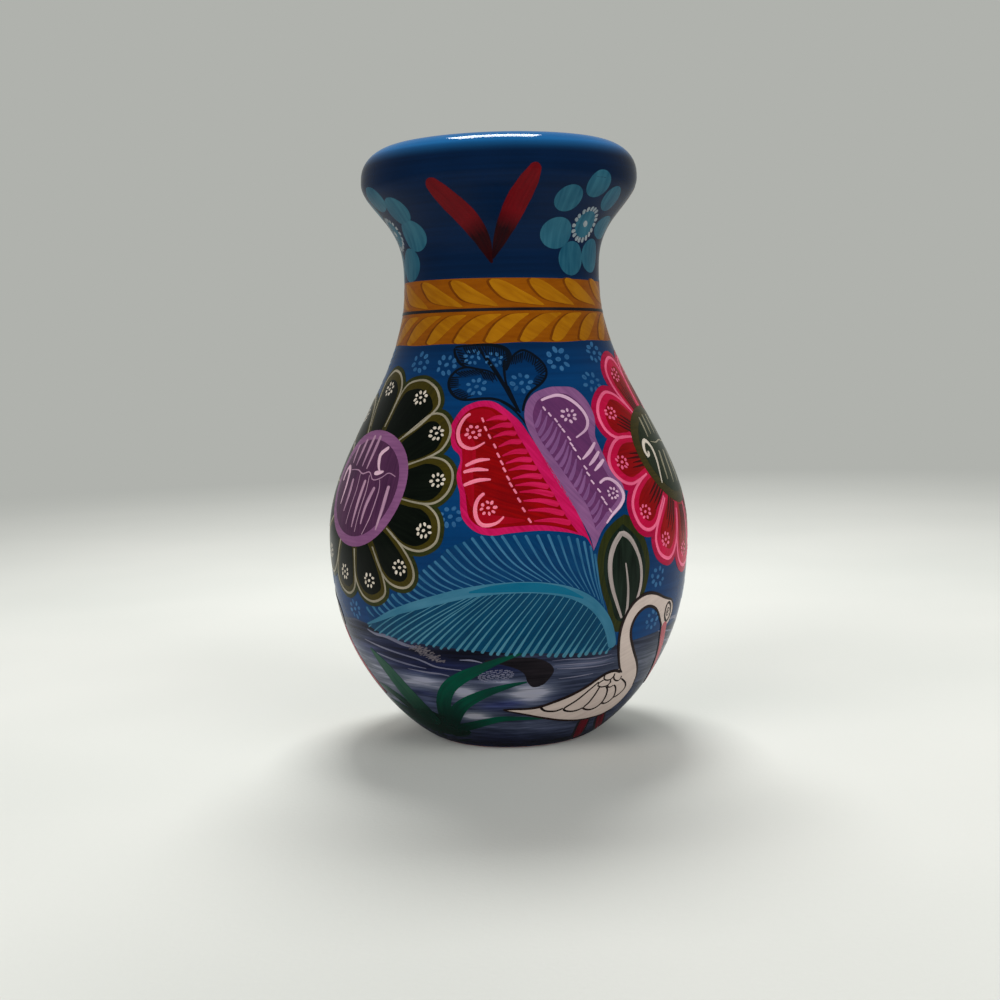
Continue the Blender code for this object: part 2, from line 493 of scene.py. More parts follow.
def ground_section(turn):
    """Outline from the foot, up the wall, over the lip and down into the mouth."""
    foot = GROUND_FOOT + brush_edge(turn, FOOT_WAVER)
    outline = [(under_wall(foot), foot)]
    for share in steps(0, 1, GROUND_STEP / LIP_HEIGHT):
        height = between(foot + GROUND_EDGE, LIP_HEIGHT, share)
        depth = GROUND_DEPTH - unevenness(turn, height)
        outline.append((wall_radius(height) - depth * math.hypot(1, wall_slope(height)), height))
    outline += rolled(GROUND_DEPTH, 0, LIP_COAT_END)
    end = LIP_HEIGHT - MOUTH_REACH + brush_edge(turn, MOUTH_WAVER)
    for share in steps(0, 1, GROUND_STEP / MOUTH_REACH):
        height = between(LIP_FOOT, end, share)
        outline.append((inside_radius(height) - 2 * RIDGE - GROUND_THICKNESS, height))
    end -= 2 * GROUND_EDGE
    return outline + [(inside_radius(end) + GROUND_THICKNESS, end)]


def lacquer_cover_with_foot_shade(finish, place, cloud):
    """How fully the lacquer covers, a little unevenly. It falls off towards the foot as painted shade, so
    that the foot mirrors less of the pale floor.
    """
    up = finish.node("ShaderNodeSeparateXYZ", None, {0: place}, output=2)
    # painted shade: less coat, and so less mirrored floor, near the foot
    return (cloud * 0.1 + 0.5) * (up.within(*FOOT_SHADE_LACQUER_RISE) * 0.75 + 0.25)


def ground_finish():
    """Blue with the fine rings of the turning brush, brighter where the coat is thin, darker with painted
    shade round the ropes and up the neck, and brighter with painted light over the lip.
    """
    finish = Finish("blue_ground_coat")
    place = finish.node("ShaderNodeTexCoord", output="Object")
    cloud = finish.noise(place, 28, detail=2)
    rings = finish.noise(finish.stretched(place, (22, 22, 900)), 1, detail=3)
    up = finish.node("ShaderNodeSeparateXYZ", None, {0: place}, output=2)
    thin = (cloud * 0.6 + rings * 0.4).within(0.38, 0.66)
    blue = finish.mixed(thin, tint(0, 40, 80), tint(2, 54, 100))
    # painted shade and painted light: a darker blue for the neck and a brighter one for the lip's top
    painted_shade_blue = finish.mixed(thin, tint(1, 18, 42), tint(2, 26, 56))
    painted_light_blue = finish.mixed(thin, tint(14, 84, 138), tint(26, 102, 158))
    # painted shade: darker just under the ropes, and fully from over them up the neck
    shade = up.maths("MAXIMUM", up.within(*ROPE_PAINTED_SHADE) * 0.6, up.within(*NECK_PAINTED_SHADE))
    # painted light: the lip brightens towards its top
    high = up.within(*LIP_PAINTED_LIGHT)
    colour = finish.mixed(high * high, finish.mixed(shade, blue, painted_shade_blue), painted_light_blue)
    return finish.surface({
        "Base Color": colour,
        "Roughness": 0.4 + rings * 0.2,
        "Coat Weight": lacquer_cover_with_foot_shade(finish, place, cloud),
        "Normal": finish.bump(rings, 0.00005, strength=0.5),
        **LACQUER,
    })


turned("ground_coat", ground_section, ground_finish(), closed=False, columns=GROUND_COLUMNS)

# Water
# A wash of slate, navy and grey laid wet round the foot with a flat brush, so that the
# colours run into each other in level streaks. A dark stone stands in it.
LAYER = 0.024               # thickness of one coat of paint
BEAD = 0.22                 # width of the rounded edge of a filled shape
RIM = 0.014                 # height of an edge over what it lies on
SINK = 0.02                 # how far the foot of an edge enters the ground coat
SHOULDER = 0.85             # share of its thickness that a stroke has near its edge
GRID = 1.25                 # spacing of points inside a filled shape
OUTLINE_STEP = 0.8
STROKE_STEP = 0.8
STROKE_END = (0.02, 0.15, 0.45, 0.8)    # shares of its round end at which a stroke has points
BELT_STEP = 1.25            # degrees
BELT_EDGE = 0.3             # share of a row in which a belt comes to its thickness
RING_DOTS = 8
RING_REACH = (0.82, 0.95)   # how far out the dots of a ring are set, as shares of its radius
DOT_LENGTH = (0.24, 0.32)   # half length and half width of a dot, as shares of it too
DOT_WIDTH = (0.17, 0.23)
DOT_LEAN = 50               # degrees
DOT_SIDES = 8
INSIDE_ONLY = 1             # triangles inside the outlines only
TOUCHING = 1e-4             # millimetres
ARC_STEP = 0.5
ARC_HEIGHTS = steps(0, LIP_HEIGHT, ARC_STEP)
ARC_LENGTHS = [0]
for low, high in zip(ARC_HEIGHTS, ARC_HEIGHTS[1:]):
    ARC_LENGTHS.append(ARC_LENGTHS[-1] + math.hypot(high - low, wall_radius(high) - wall_radius(low)))

hand = random.Random(11)    # the unevenness of the painter's hand


def read_across(xs, ys, x):
    """Value at x on the line through the points of two rising lists."""
    i = min(max(bisect.bisect_right(xs, x), 1), len(xs) - 1)
    return between(ys[i - 1], ys[i], (x - xs[i - 1]) / (xs[i] - xs[i - 1]))


def height_on(line, turn):
    """Height of a line of places at a turn."""
    turns, heights = zip(*line)
    return read_across(turns, heights, turn)


def shifted(places, shift):
    """Places moved round the vase by a turn."""
    return [(turn + shift, height) for turn, height in places]


def arc_at(height):
    """Length up the wall from the foot to a height."""
    return read_across(ARC_HEIGHTS, ARC_LENGTHS, height)


def moved(place, right, up):
    """Place on the wall that lies millimetres to the right of and up from another."""
    turn, height = place
    height = read_across(ARC_LENGTHS, ARC_HEIGHTS, arc_at(height) + up)
    return turn + math.degrees(right / wall_radius(height)), height


def step_between(start, end):
    """Millimetres to the right and up from one place to the next."""
    radius = wall_radius((start[1] + end[1]) / 2)
    return math.radians(end[0] - start[0]) * radius, arc_at(end[1]) - arc_at(start[1])


def painted(turn, height, lift):
    """Point at a lift over the ground coat."""
    slope = wall_slope(height)
    out = (lift - GROUND_DEPTH + unevenness(turn, height)) / math.hypot(1, slope)
    return upright(turn, wall_radius(height) + out, height - slope * out)


def smooth(points, step, closed=False):
    """Smooth line through places. A place given twice is a corner."""
    count = len(points)
    line = []
    for i in range(count if closed else count - 1):
        if closed:
            before, start, end, after = (points[(i + k) % count] for k in (-1, 0, 1, 2))
        else:
            before, start, end, after = (points[min(max(i + k, 0), count - 1)] for k in (-1, 0, 1, 2))
        pieces = math.ceil(math.hypot(*step_between(start, end)) / step)
        for piece in range(pieces):
            t = piece / pieces
            weights = (
                (2 - t) * t * t - t,
                (3 * t - 5) * t * t + 2,
                ((4 - 3 * t) * t + 1) * t,
                (t - 1) * t * t,
            )
            spots = (before, start, end, after)
            line.append(tuple(sum(w * spot[k] for w, spot in zip(weights, spots)) / 2 for k in (0, 1)))
    if not closed:
        line.append(tuple(points[-1]))
    return line


def grown(outline, width):
    """Closed line moved out by a width, or in where the width is less than 0."""
    flat = [step_between(outline[0], place) for place in outline]
    area = sum(a[0] * b[1] - b[0] * a[1] for a, b in zip(flat, flat[1:] + flat[:1]))
    side = math.copysign(1, area) * width
    line = []
    for i, place in enumerate(outline):
        right, up = step_between(outline[i - 1], outline[(i + 1) % len(outline)])
        length = math.hypot(right, up) or 1
        line.append(moved(place, side * up / length, -side * right / length))
    return line


def inside(spot, outline):
    """Whether a flat point lies in a closed line of flat points."""
    x, y = spot
    held = False
    for (ax, ay), (bx, by) in zip(outline, outline[1:] + outline[:1]):
        if (ay > y) != (by > y) and x < (bx - ax) * (y - ay) / (by - ay) + ax:
            held = not held
    return held


def oval(centre, right, up, tilt=0, count=20):
    """Closed line round a centre, with its half widths to the right and up."""
    line = []
    across = math.cos(math.radians(tilt))
    rise = math.sin(math.radians(tilt))
    for i in range(count):
        x = right * math.cos(math.tau * i / count)
        y = up * math.sin(math.tau * i / count)
        line.append(moved(centre, x * across - y * rise, x * rise + y * across))
    return line


class Film:
    """Paint of one colour at one level: strokes and filled shapes that follow the wall."""

    def __init__(self, level, over=0):
        self.top = level * LAYER
        self.edge = over * LAYER + RIM
        self.shoulder = between(self.edge, self.top, SHOULDER)
        self.section = (
            (-1, -SINK), (-1, self.edge), (-0.7, self.shoulder), (0, self.top),
            (0.7, self.shoulder), (1, self.edge), (1, -SINK),
        )
        self.points = []
        self.faces = []
        self.brush = []

    def add(self, turn, height, lift, brush):
        """Point at a lift over the ground coat, with its place along and across the brush stroke."""
        self.points.append(painted(turn, height, lift))
        self.brush.append(brush)

    def stroke(self, places, width):
        """Stroke of the brush along places. A list of widths is read evenly along it."""
        widths = width if isinstance(width, (tuple, list)) else (width, width)
        line = smooth(places, STROKE_STEP)
        gone = [0]
        for start, end in zip(line, line[1:]):
            gone.append(gone[-1] + max(math.hypot(*step_between(start, end)), TOUCHING))
        turns, heights = zip(*line)
        length = gone[-1]
        marks = [length * i / (len(widths) - 1) for i in range(len(widths))]
        first = min(widths[0] / 2, length / 2)
        last = min(widths[-1] / 2, length / 2)
        stations = [first * end for end in STROKE_END]
        stations += steps(first, length - last, STROKE_STEP)
        stations += [length - last * end for end in reversed(STROKE_END)]
        own = hand.random()
        base = len(self.points)
        for along in stations:
            cap = 1
            if along < first:
                cap = math.sqrt(1 - (1 - along / first) ** 2)
            elif along > length - last:
                cap = math.sqrt(1 - (1 - (length - along) / last) ** 2)
            half = read_across(marks, widths, along) / 2 * cap
            place = (read_across(gone, turns, along), read_across(gone, heights, along))
            ahead = min(max(bisect.bisect_right(gone, along), 1), len(line) - 1)
            right, up = step_between(line[ahead - 1], line[ahead])
            size = math.hypot(right, up) or 1
            for across, lift in self.section:
                turn, height = moved(place, -across * half * up / size, across * half * right / size)
                self.add(turn, height, lift, (along, across * half, own))
        count = len(self.section)
        for i in range(len(stations) - 1):
            for k in range(count - 1):
                here = base + count * i + k
                self.faces.append((here, here + count, here + count + 1, here + 1))
        end = base + count * (len(stations) - 1)
        self.faces.append(tuple(range(base, base + count)))
        self.faces.append(tuple(reversed(range(end, end + count))))

    def fill(self, outlines, lean=0):
        """Filled shapes that run together where they overlap. The brush leans in degrees."""
        radius = wall_radius(sum(place[1] for place in outlines[0]) / len(outlines[0]))
        middle = outlines[0][0][0]

        def flat(place):
            return math.radians(place[0] - middle) * radius, arc_at(place[1])
        edges = []
        spots = []
        for outline in outlines:
            ring = [flat(place) for place in outline]
            core = [flat(place) for place in grown(outline, -BEAD)]
            base = len(spots)
            edges += [(base + i, base + (i + 1) % len(ring)) for i in range(len(ring))]
            spots += ring
            spots += [spot for spot in core if inside(spot, ring)]
            low_x, high_x = min(spot[0] for spot in ring), max(spot[0] for spot in ring)
            low_y, high_y = min(spot[1] for spot in ring), max(spot[1] for spot in ring)
            for row, y in enumerate(steps(low_y, high_y, GRID)):
                for x in steps(low_x - row % 2 * GRID / 2, high_x, GRID):
                    if inside((x, y), core):
                        spots.append((x, y))
        vectors = [Vector(spot) for spot in spots]
        flat_points, _, triangles, *_ = delaunay_2d_cdt(vectors, edges, [], INSIDE_ONLY, TOUCHING)
        sides = set()
        for triangle in triangles:
            sides.update(zip(triangle, (*triangle[1:], triangle[0])))
        rim = sorted((start, end) for start, end in sides if (end, start) not in sides)
        ends = sorted({start for start, end in rim})
        own = hand.random()
        lean = math.radians(lean)
        base = len(self.points)
        on_wall = []
        for x, y in flat_points:
            along = x * math.cos(lean) + y * math.sin(lean)
            across = y * math.cos(lean) - x * math.sin(lean)
            place = (middle + math.degrees(x / radius), read_across(ARC_LENGTHS, ARC_HEIGHTS, y))
            on_wall.append((*place, (along, across, own)))
        edge_points = set(ends)
        for i, (turn, height, brush) in enumerate(on_wall):
            self.add(turn, height, self.edge if i in edge_points else self.top, brush)
        foot = {}
        for point in ends:
            turn, height, brush = on_wall[point]
            foot[point] = len(self.points)
            self.add(turn, height, -SINK, brush)
        self.faces += [tuple(base + point for point in triangle) for triangle in triangles]
        self.faces += [(base + end, base + start, foot[start], foot[end]) for start, end in rim]

    def shape(self, places, lean=0, step=OUTLINE_STEP):
        """Filled shape with a smooth outline through places."""
        self.fill([smooth(places, step, closed=True)], lean)

    def belt(self, low, high, rows):
        """Belt right round the vase between two lines, each given by the turn."""
        count = round(360 / BELT_STEP)
        base = len(self.points)
        shares = [BELT_EDGE / rows, *steps(1 / rows, 1 - 1 / rows, 1 / rows), 1 - BELT_EDGE / rows]
        section = [(0, -SINK), (0, self.edge)]
        section += [(share, self.top) for share in shares]
        section += [(1, self.edge), (1, -SINK)]
        for column in range(count):
            turn = BELT_STEP * column - 180
            for share, lift in section:
                height = between(low(turn), high(turn), share)
                self.add(turn, height, lift, (math.radians(turn) * BELLY_RADIUS, height, 0))
        size = len(section)
        for column in range(count):
            here = base + column * size
            there = base + (column + 1) % count * size
            for row in range(size - 1):
                self.faces.append((here + row, there + row, there + row + 1, here + row + 1))

    def ring_of_dots(self, centre, size):
        """Little flower of oval dots round one dot."""
        start = 45 * hand.random()
        for i in range(RING_DOTS):
            degrees = start + (i + 0.25 * hand.random()) * 360 / RING_DOTS
            angle = math.radians(degrees)
            reach = size * between(*RING_REACH, hand.random())
            spot = moved(centre, reach * math.cos(angle), 0.9 * reach * math.sin(angle))
            long = size * between(*DOT_LENGTH, hand.random())
            short = size * between(*DOT_WIDTH, hand.random())
            self.dot(spot, long, short, degrees + between(-DOT_LEAN, DOT_LEAN, hand.random()))
        self.dot(centre, size * 0.26, size * 0.20, start)

    def dot(self, centre, long, short, tilt=0):
        """Oval dot, raised in the middle."""
        own = hand.random()
        base = len(self.points)
        self.add(*centre, self.top, (0, 0, own))
        for share, lift in ((0.6, self.shoulder), (1, self.edge), (1, -SINK)):
            for turn, height in oval(centre, long * share, short * share, tilt, DOT_SIDES):
                self.add(turn, height, lift, (long * share, short * share, own))
        for i in range(DOT_SIDES):
            k = (i + 1) % DOT_SIDES
            self.faces.append((base, base + 1 + i, base + 1 + k))
            for low in (base + 1, base + 1 + DOT_SIDES):
                self.faces.append((low + i, low + DOT_SIDES + i, low + DOT_SIDES + k, low + k))

    def dry(self, name, material):
        """The finished piece of paint."""
        piece = add_piece(name, self.points, self.faces, material)
        brush = piece.data.attributes.new("brush", "FLOAT_VECTOR", "POINT")
        brush.data.foreach_set("vector", [number for vector in self.brush for number in vector])
        piece.data.set_sharp_from_angle(angle=CRISP)
        return piece


def paint(name, thick, thin, streaks=1.6, contrast=0.16, later=None):
    """Acrylic under clear lacquer: its colour where it lies thick and where bristles thinned it.

    Later is where along a stroke a second colour starts and fills it, and its own two colours.
    """
    finish = Finish(name)
    brush = finish.node("ShaderNodeAttribute", {"attribute_name": "brush"}, output="Vector")
    place = finish.node("ShaderNodeTexCoord", output="Object")
    bristles = finish.noise(finish.stretched(brush, (0.11, streaks, 40)), 1, detail=3)
    cloud = finish.noise(place, 130, detail=2)
    own = finish.node("ShaderNodeSeparateXYZ", None, {0: brush}, output=2)
    amount = (bristles * 0.62 + cloud * 0.38 + (own - 0.5) * 0.09).within(0.5 - contrast, 0.5 + contrast)
    colour = finish.mixed(amount, tint(*thin), tint(*thick))
    if later:
        start, full, thick_later, thin_later = later
        along = finish.node("ShaderNodeSeparateXYZ", None, {0: brush}, output=0)
        second = finish.mixed(amount, tint(*thin_later), tint(*thick_later))
        colour = finish.mixed((along + bristles * 3).within(start, full), colour, second)
    return finish.surface({
        "Base Color": colour,
        "Roughness": 0.42 + bristles * 0.2,
        "Coat Weight": lacquer_cover_with_foot_shade(finish, place, cloud),
        "Normal": finish.bump(bristles, 0.00004, strength=0.5),
        **LACQUER,
    })


WATER_LINE = (
    (-180, 30.5), (-140, 31.5), (-100, 31), (-60, 34), (-52, 33.4), (-45, 32.4), (-38, 31.4), (-30, 30.6),
    (-15, 29.6), (5, 28.6), (30, 27.6), (50, 28.6), (75, 29.5), (110, 31), (150, 29.5), (180, 30.5),
)
WATER_FOOT = 0.26
WATER_ROWS = 34
WASH = (0.42, 0.15)         # how pale and how blue the water is between the touches
# Each touch of the flat brush, and one of painted shade low round the front: turn, height, half length,
# half height, how pale, how blue
TOUCHES_AND_FOOT_SHADE = (
    (-46, 32.4, 16, 0.9, -0.34, 0),
    (-14, 28.0, 15, 1.4, -0.40, -0.1),
    (-40, 27.6, 20, 2.6, -0.24, 0.75),
    (-30, 24.2, 16, 1.9, -0.22, 0.8),
    (-35, 19.8, 12, 2.3, 0.60, 0.1),
    (-35, 16.8, 6, 0.7, -0.10, 0.6),
    (-35, 14, 6, 1.8, 0.14, 0.3),
    (-56, 21, 9, 6, 0.40, 0),
    (-52, 16, 5, 2.6, 0.20, 0),
    (-58, 12.6, 5, 1.6, 0.30, 0),
    (-72, 24, 12, 7, 0.26, 0),
    (-18, 17.8, 7, 2.4, 0.66, 0.1),
    (-16, 11, 8, 1.5, 0.72, -0.1),
    (-8, 14, 7, 1.1, 0.10, 0.7),
    (-6, 24.4, 9, 1.4, -0.22, 0.8),
    (-5, 20.8, 8, 1.1, 0.44, 0.2),
    (6, 17.2, 9, 2.9, 0.74, 0),
    (-1, 14.8, 6, 0.9, -0.14, 0.8),
    (15, 15.8, 6, 1.1, -0.16, 0.1),
    (20, 26.3, 14, 0.8, -0.16, 0),
    (25, 24.2, 15, 1.6, 0.28, 0.1),
    (24, 20.4, 14, 1.8, 0.10, 0.05),
    (8, 7.6, 18, 2.0, 0.18, 0.05),
    (24, 6.2, 26, 2.0, 0.08, 0.1),
    (-8, 4.2, 20, 1.8, -0.10, 0.2),
    # painted shade: this touch darkens the wash round the foot at the front
    (10, 1.4, 90, 1.9, -0.36, 0.2),
    (56, 22, 16, 5, 0.22, -0.1),
    (80, 24, 14, 5, 0.30, -0.1),
    (66, 12, 18, 4, 0.06, 0.1),
)
BACK_TOUCH_COUNT = 46
# The touches out of view lie between these limits
BACK_TOUCHES = ((95, 275), (2, 29), (7, 20), (0.8, 2.8), (-0.4, 0.5), (-0.1, 0.8))
water = Film(1)
water.belt(
    lambda turn: WATER_FOOT + brush_edge(turn, FOOT_WAVER),
    lambda turn: height_on(WATER_LINE, turn),
    WATER_ROWS,
)
touches_and_foot_shade = list(TOUCHES_AND_FOOT_SHADE)
for touch in range(BACK_TOUCH_COUNT):
    touches_and_foot_shade.append([between(low, high, hand.random()) for low, high in BACK_TOUCHES])


def wash_at(turn, height):
    """How pale and how blue the wash is at a place."""
    pale, blue = WASH
    for spot_turn, spot_height, length, rise, paler, bluer in touches_and_foot_shade:
        away = (turn - spot_turn + 180) % 360 - 180
        near = math.exp(-(away / length) ** 2 - ((height - spot_height) / rise) ** 2)
        pale += paler * near
        blue += bluer * near
    return pale, blue


def water_finish():
    """Wet colours run together in level streaks: navy, slate, grey and nearly white."""
    finish = Finish("water_wash")
    brush = finish.node("ShaderNodeAttribute", {"attribute_name": "brush"}, output="Vector")
    wash = finish.node("ShaderNodeAttribute", {"attribute_name": "wash"}, output="Vector")
    place = finish.node("ShaderNodeTexCoord", output="Object")
    pale = finish.node("ShaderNodeSeparateXYZ", None, {0: wash}, output=0)
    blue = finish.node("ShaderNodeSeparateXYZ", None, {0: wash}, output=1)
    wide = finish.noise(finish.stretched(brush, (0.05, 0.9, 1)), 1, detail=3)
    fine = finish.noise(finish.stretched(brush, (0.16, 3.6, 1)), 1, detail=3)
    amount = pale + (wide - 0.5) * 0.7 + (fine - 0.5) * 0.35
    greys = (
        (0, tint(8, 9, 16)), (0.25, tint(20, 24, 36)), (0.45, tint(36, 42, 56)),
        (0.65, tint(62, 68, 80)), (0.85, tint(94, 98, 108)), (1, tint(140, 140, 148)),
    )
    grey = finish.node("ShaderNodeValToRGB", {"stops": greys}, {0: amount})
    blues = (
        (0, tint(8, 9, 28)), (0.4, tint(26, 32, 66)),
        (0.7, tint(62, 70, 112)), (1, tint(126, 132, 166)),
    )
    violet = finish.node("ShaderNodeValToRGB", {"stops": blues}, {0: amount})
    return finish.surface({
        "Base Color": finish.mixed((blue + (wide - 0.5) * 0.5).within(0, 1), grey, violet),
        "Roughness": 0.42 + fine * 0.2,
        "Coat Weight": lacquer_cover_with_foot_shade(finish, place, wide),
        "Normal": finish.bump(fine, 0.00005, strength=0.5),
        **LACQUER,
    })


water_piece = water.dry("water", water_finish())
wash = water_piece.data.attributes.new("wash", "FLOAT_VECTOR", "POINT")
values = []
for point in water.points:
    x, y, z = point / MM
    values += [*wash_at(math.degrees(math.atan2(x, -y)), z), 0]
wash.data.foreach_set("vector", values)

soot = paint("soot_black", thick=(14, 12, 16), thin=(30, 26, 30))
HERON_TURNS = (0, -139, 114)
STONE = (
    (-9, 26.2), (-3, 27), (3, 27), (8, 26.6), (12, 25.2), (14, 23.2), (12.6, 21), (10.4, 19.4), (7, 19),
    (5, 20.6), (4.2, 22.4), (1.6, 24), (-3, 25.2),
)
stones = Film(2, over=1)
for shift in HERON_TURNS:
    stones.shape(shifted(STONE, shift))
stones.dry("stones", soot)

foam = Film(2, over=1)
scribbles = Film(2, over=1)
RIPPLE_LINES = (
    (((-53, 31.9), (-49, 31.1), (-44.5, 31), (-41, 30.4), (-38, 29.7), (-35, 29.2), (-31.5, 29)),
     (0.3, 0.8, 1.0, 0.9, 0.5)),
    (((-57, 28.9), (-47, 27.7), (-38.5, 26.7), (-33, 26), (-29.5, 25.2), (-25.5, 24.2), (-17, 23.7)),
     (0.2, 0.5, 0.4, 0.5, 0.2)),
    (((-52, 25.9), (-43, 24.8), (-35, 24), (-30, 23.6)), (0.2, 0.6, 0.5, 0.2)),
    (((-38, 23), (-29, 22.5), (-25, 22.4), (-21.8, 22)), (0.15, 0.45, 0.5, 0.2)),
    (((-17, 26.4), (-13, 26.4), (-9.6, 25.8)), (0.2, 0.5, 0.2)),
    (((13, 25.7), (20, 25.7), (28, 25.2), (35, 25.6)), (0.1, 0.25, 0.25, 0.1)),
    (((14, 24.5), (22, 24.3), (30, 24.1), (36, 24.6)), (0.1, 0.3, 0.35, 0.1)),
    (((15, 23.5), (22, 23.2), (30, 23), (37, 23.3)), (0.1, 0.35, 0.3, 0.1)),
    (((16, 20.8), (22, 20.9), (29, 21.2)), (0.1, 0.3, 0.1)),
)
SCRIBBLE = (
    (-34, 28.9, 1.0), (-31.5, 28.6, 1.8), (-29.4, 28.1, 2.1), (-27.2, 27.4, 2.2), (-25.2, 26.6, 1.6),
    (-23.8, 26, 0.8),
)
SCRIBBLE_DASHES = 15        # for each millimetre of height
FOAM_CENTRE = (-5.6, 22.3)
FOAM_RINGS = (
    # half width in degrees, half height, dashes
    (5.6, 1.5, 22), (4.2, 1.05, 17), (2.6, 0.6, 11), (1.0, 0.2, 5),
)
for shift in HERON_TURNS:
    for places, widths in RIPPLE_LINES:
        foam.stroke(shifted(places, shift), widths)
    for middle, height, tall in SCRIBBLE:
        for dash in range(round(tall * SCRIBBLE_DASHES)):
            turn = middle + shift + between(-1.5, 1.5, hand.random())
            rise = height + tall * (hand.random() - 0.5)
            bent = [(turn - 0.4, rise - 0.15), (turn, rise + 0.12), (turn + 0.5, rise + 0.05)]
            scribbles.stroke(bent, 0.22)
    for wide, tall, dashes in FOAM_RINGS:
        for dash in range(dashes):
            angle = math.tau * (dash + 0.5 * hand.random()) / dashes
            turn = FOAM_CENTRE[0] + shift + wide * math.cos(angle)
            rise = FOAM_CENTRE[1] + tall * math.sin(angle) + 0.08 * wide * math.cos(angle)
            bend = 0.35 * math.sin(angle)
            bent = [(turn - 0.5, rise - 0.1), (turn + bend, rise + 0.18), (turn + 0.6, rise - 0.05)]
            foam.stroke(bent, 0.28)
foam.dry("water_lights", paint("pale_grey_white", thick=(112, 112, 128), thin=(80, 82, 104)))
scribbles.dry("water_scribbles", paint("beige_grey", thick=(100, 94, 98), thin=(74, 70, 78)))

# Reeds
# Long leaves drawn up from one clump with a loaded round brush, dark green where they start
# and brighter where the stroke ends.
REED_CLUMPS = (0, -145, 146)
BLADES = (
    ([(-32, 6), (-30.5, 9.5), (-28.5, 13.5), (-25.5, 17), (-22, 19.6), (-17, 21.9), (-12, 23.7),
      (-8, 25.1), (-3, 26.6), (3, 28)], (4.0, 4.2, 3.9, 3.8, 3.6, 3.1, 2.2, 1.4, 0.5)),
    ([(-33, 6), (-29, 8.5), (-25, 11), (-20, 13.9), (-15, 15.9), (-10, 17.5), (-5, 18.8), (0, 19.8),
      (5, 20.5)], (4.2, 4.2, 3.9, 3.5, 3.1, 2.6, 2.0, 1.3, 0.4)),
    ([(-34, 5.6), (-24, 6.9), (-18, 7.9), (-12, 9), (-6, 9.9), (0, 10.1), (6, 10), (13, 9.6)],
     (3.6, 3.3, 3.0, 2.6, 2.2, 1.7, 1.1, 0.3)),
    ([(-44, 8), (-48, 10.8), (-53, 13.4), (-58, 15), (-64, 16.2)], (4.2, 4.2, 3.6, 2.6, 0.6)),
    ([(-45, 7), (-52, 8.8), (-58, 10.2), (-66, 11.6)], (4.4, 4.0, 2.8, 0.6)),
    ([(-40, 4.6), (-50, 5.4), (-60, 6.8), (-70, 8.6)], (3.6, 3.2, 2.4, 0.5)),
)
FADED_BLADE = ((-40, 6.6), (-41.4, 10), (-43.3, 13.5), (-46, 17.5), (-49.4, 21.8), (-55, 26.8))
FADED_WIDTHS = (6.0, 6.4, 6.0, 5.2, 3.8, 0.7)
CLUMP = (
    (-22, 5.2), (-25, 7.2), (-29, 8.6), (-33, 10), (-36.4, 11.1), (-40, 11), (-46, 11), (-52, 9.6),
    (-58, 8.2), (-61, 6.8), (-57, 5.2), (-50, 4.1), (-42, 3.6), (-34, 3.7), (-27, 4),
)
CLUMP_STREAKS = 16          # streaks of the dry brush over each clump
reed_clumps = Film(2, over=1)
reeds = Film(3, over=2)
faded_reeds = Film(4, over=3)
for shift in REED_CLUMPS:
    reed_clumps.shape(shifted(CLUMP, shift), 60, 1)
    for places, widths in BLADES:
        reeds.stroke(shifted(places, shift), widths)
    faded_reeds.stroke(shifted(FADED_BLADE, shift), FADED_WIDTHS)
    for streak in range(CLUMP_STREAKS):
        turn = between(-58, -26, hand.random()) + shift
        rise = between(1.6, 4.6, hand.random())
        places = [(turn - 4, rise - 0.5), (turn, rise), (turn + 4, rise + 0.3)]
        reed_clumps.stroke(places, (0.1, between(0.4, 1.1, hand.random()), 0.1))
reed_green = paint(
    "reed_green", thick=(0, 20, 14), thin=(0, 30, 24), streaks=0.9,
    later=(7, 16, (0, 66, 49), (8, 48, 40)),
)
faded_green = paint(
    "faded_reed_green", thick=(0, 24, 17), thin=(0, 40, 30), streaks=0.9,
    later=(7, 15, (38, 74, 58), (14, 60, 46)),
)
dark_green = paint("dark_reed_green", thick=(0, 16, 11), thin=(0, 25, 18), streaks=0.9)
reeds.dry("reeds", reed_green)
faded_reeds.dry("faded_reeds", faded_green)
reed_clumps.dry("reed_clumps", dark_green)

# Fronds
# A broad palm leaf lies over the far side of the water: a pale blue rib, fine strokes combed
# up from it over the ground, and a teal half below filled with slanting strokes.
HOME = 9                    # the turn about which a group is squeezed
GROUPS = ((0, 1), (125, 0.78), (-125.3, 0.85))      # turn and squeeze of each group of leaves
RIB = (
    (-52, 33.4), (-46, 34.9), (-38, 37.4), (-30, 39.4), (-22, 41.2), (-14, 42.8), (-7, 43.7), (0, 44.1),
    (7, 44), (13, 43.3), (18, 42.2), (23, 40.2), (27, 37.6), (30.5, 34.2), (32.6, 31), (34.4, 27.4),
)
RIB_WIDTHS = (0.4, 1.5, 2.2, 2.5, 2.6, 2.7, 2.7, 2.6, 2.4)
SECOND_COAT = (-12, -5, 2, 9, 16, 22)       # turns at which the second coat on the rib is drawn
SECOND_WIDTHS = (0.4, 1.7, 2.2, 2.2, 1.7, 0.4)
FIELD_FOOT = (
    (-53, 33.2), (-50, 32.5), (-45, 31.5), (-40, 30.9), (-30, 30.1), (-20, 29.5), (-10, 28.8), (0, 28.2),
    (10, 27.8), (20, 27.2), (30, 26.7), (35, 26.8),
)
FIELD_STEP = 3              # degrees between the places of an outline that follows the rib
HATCH_ENDS = (-52, 32)
HATCH_PITCH = 2.7
HATCH_GAP = 0.5             # what the hatching leaves under the rib
HATCH_RISE = 0.25
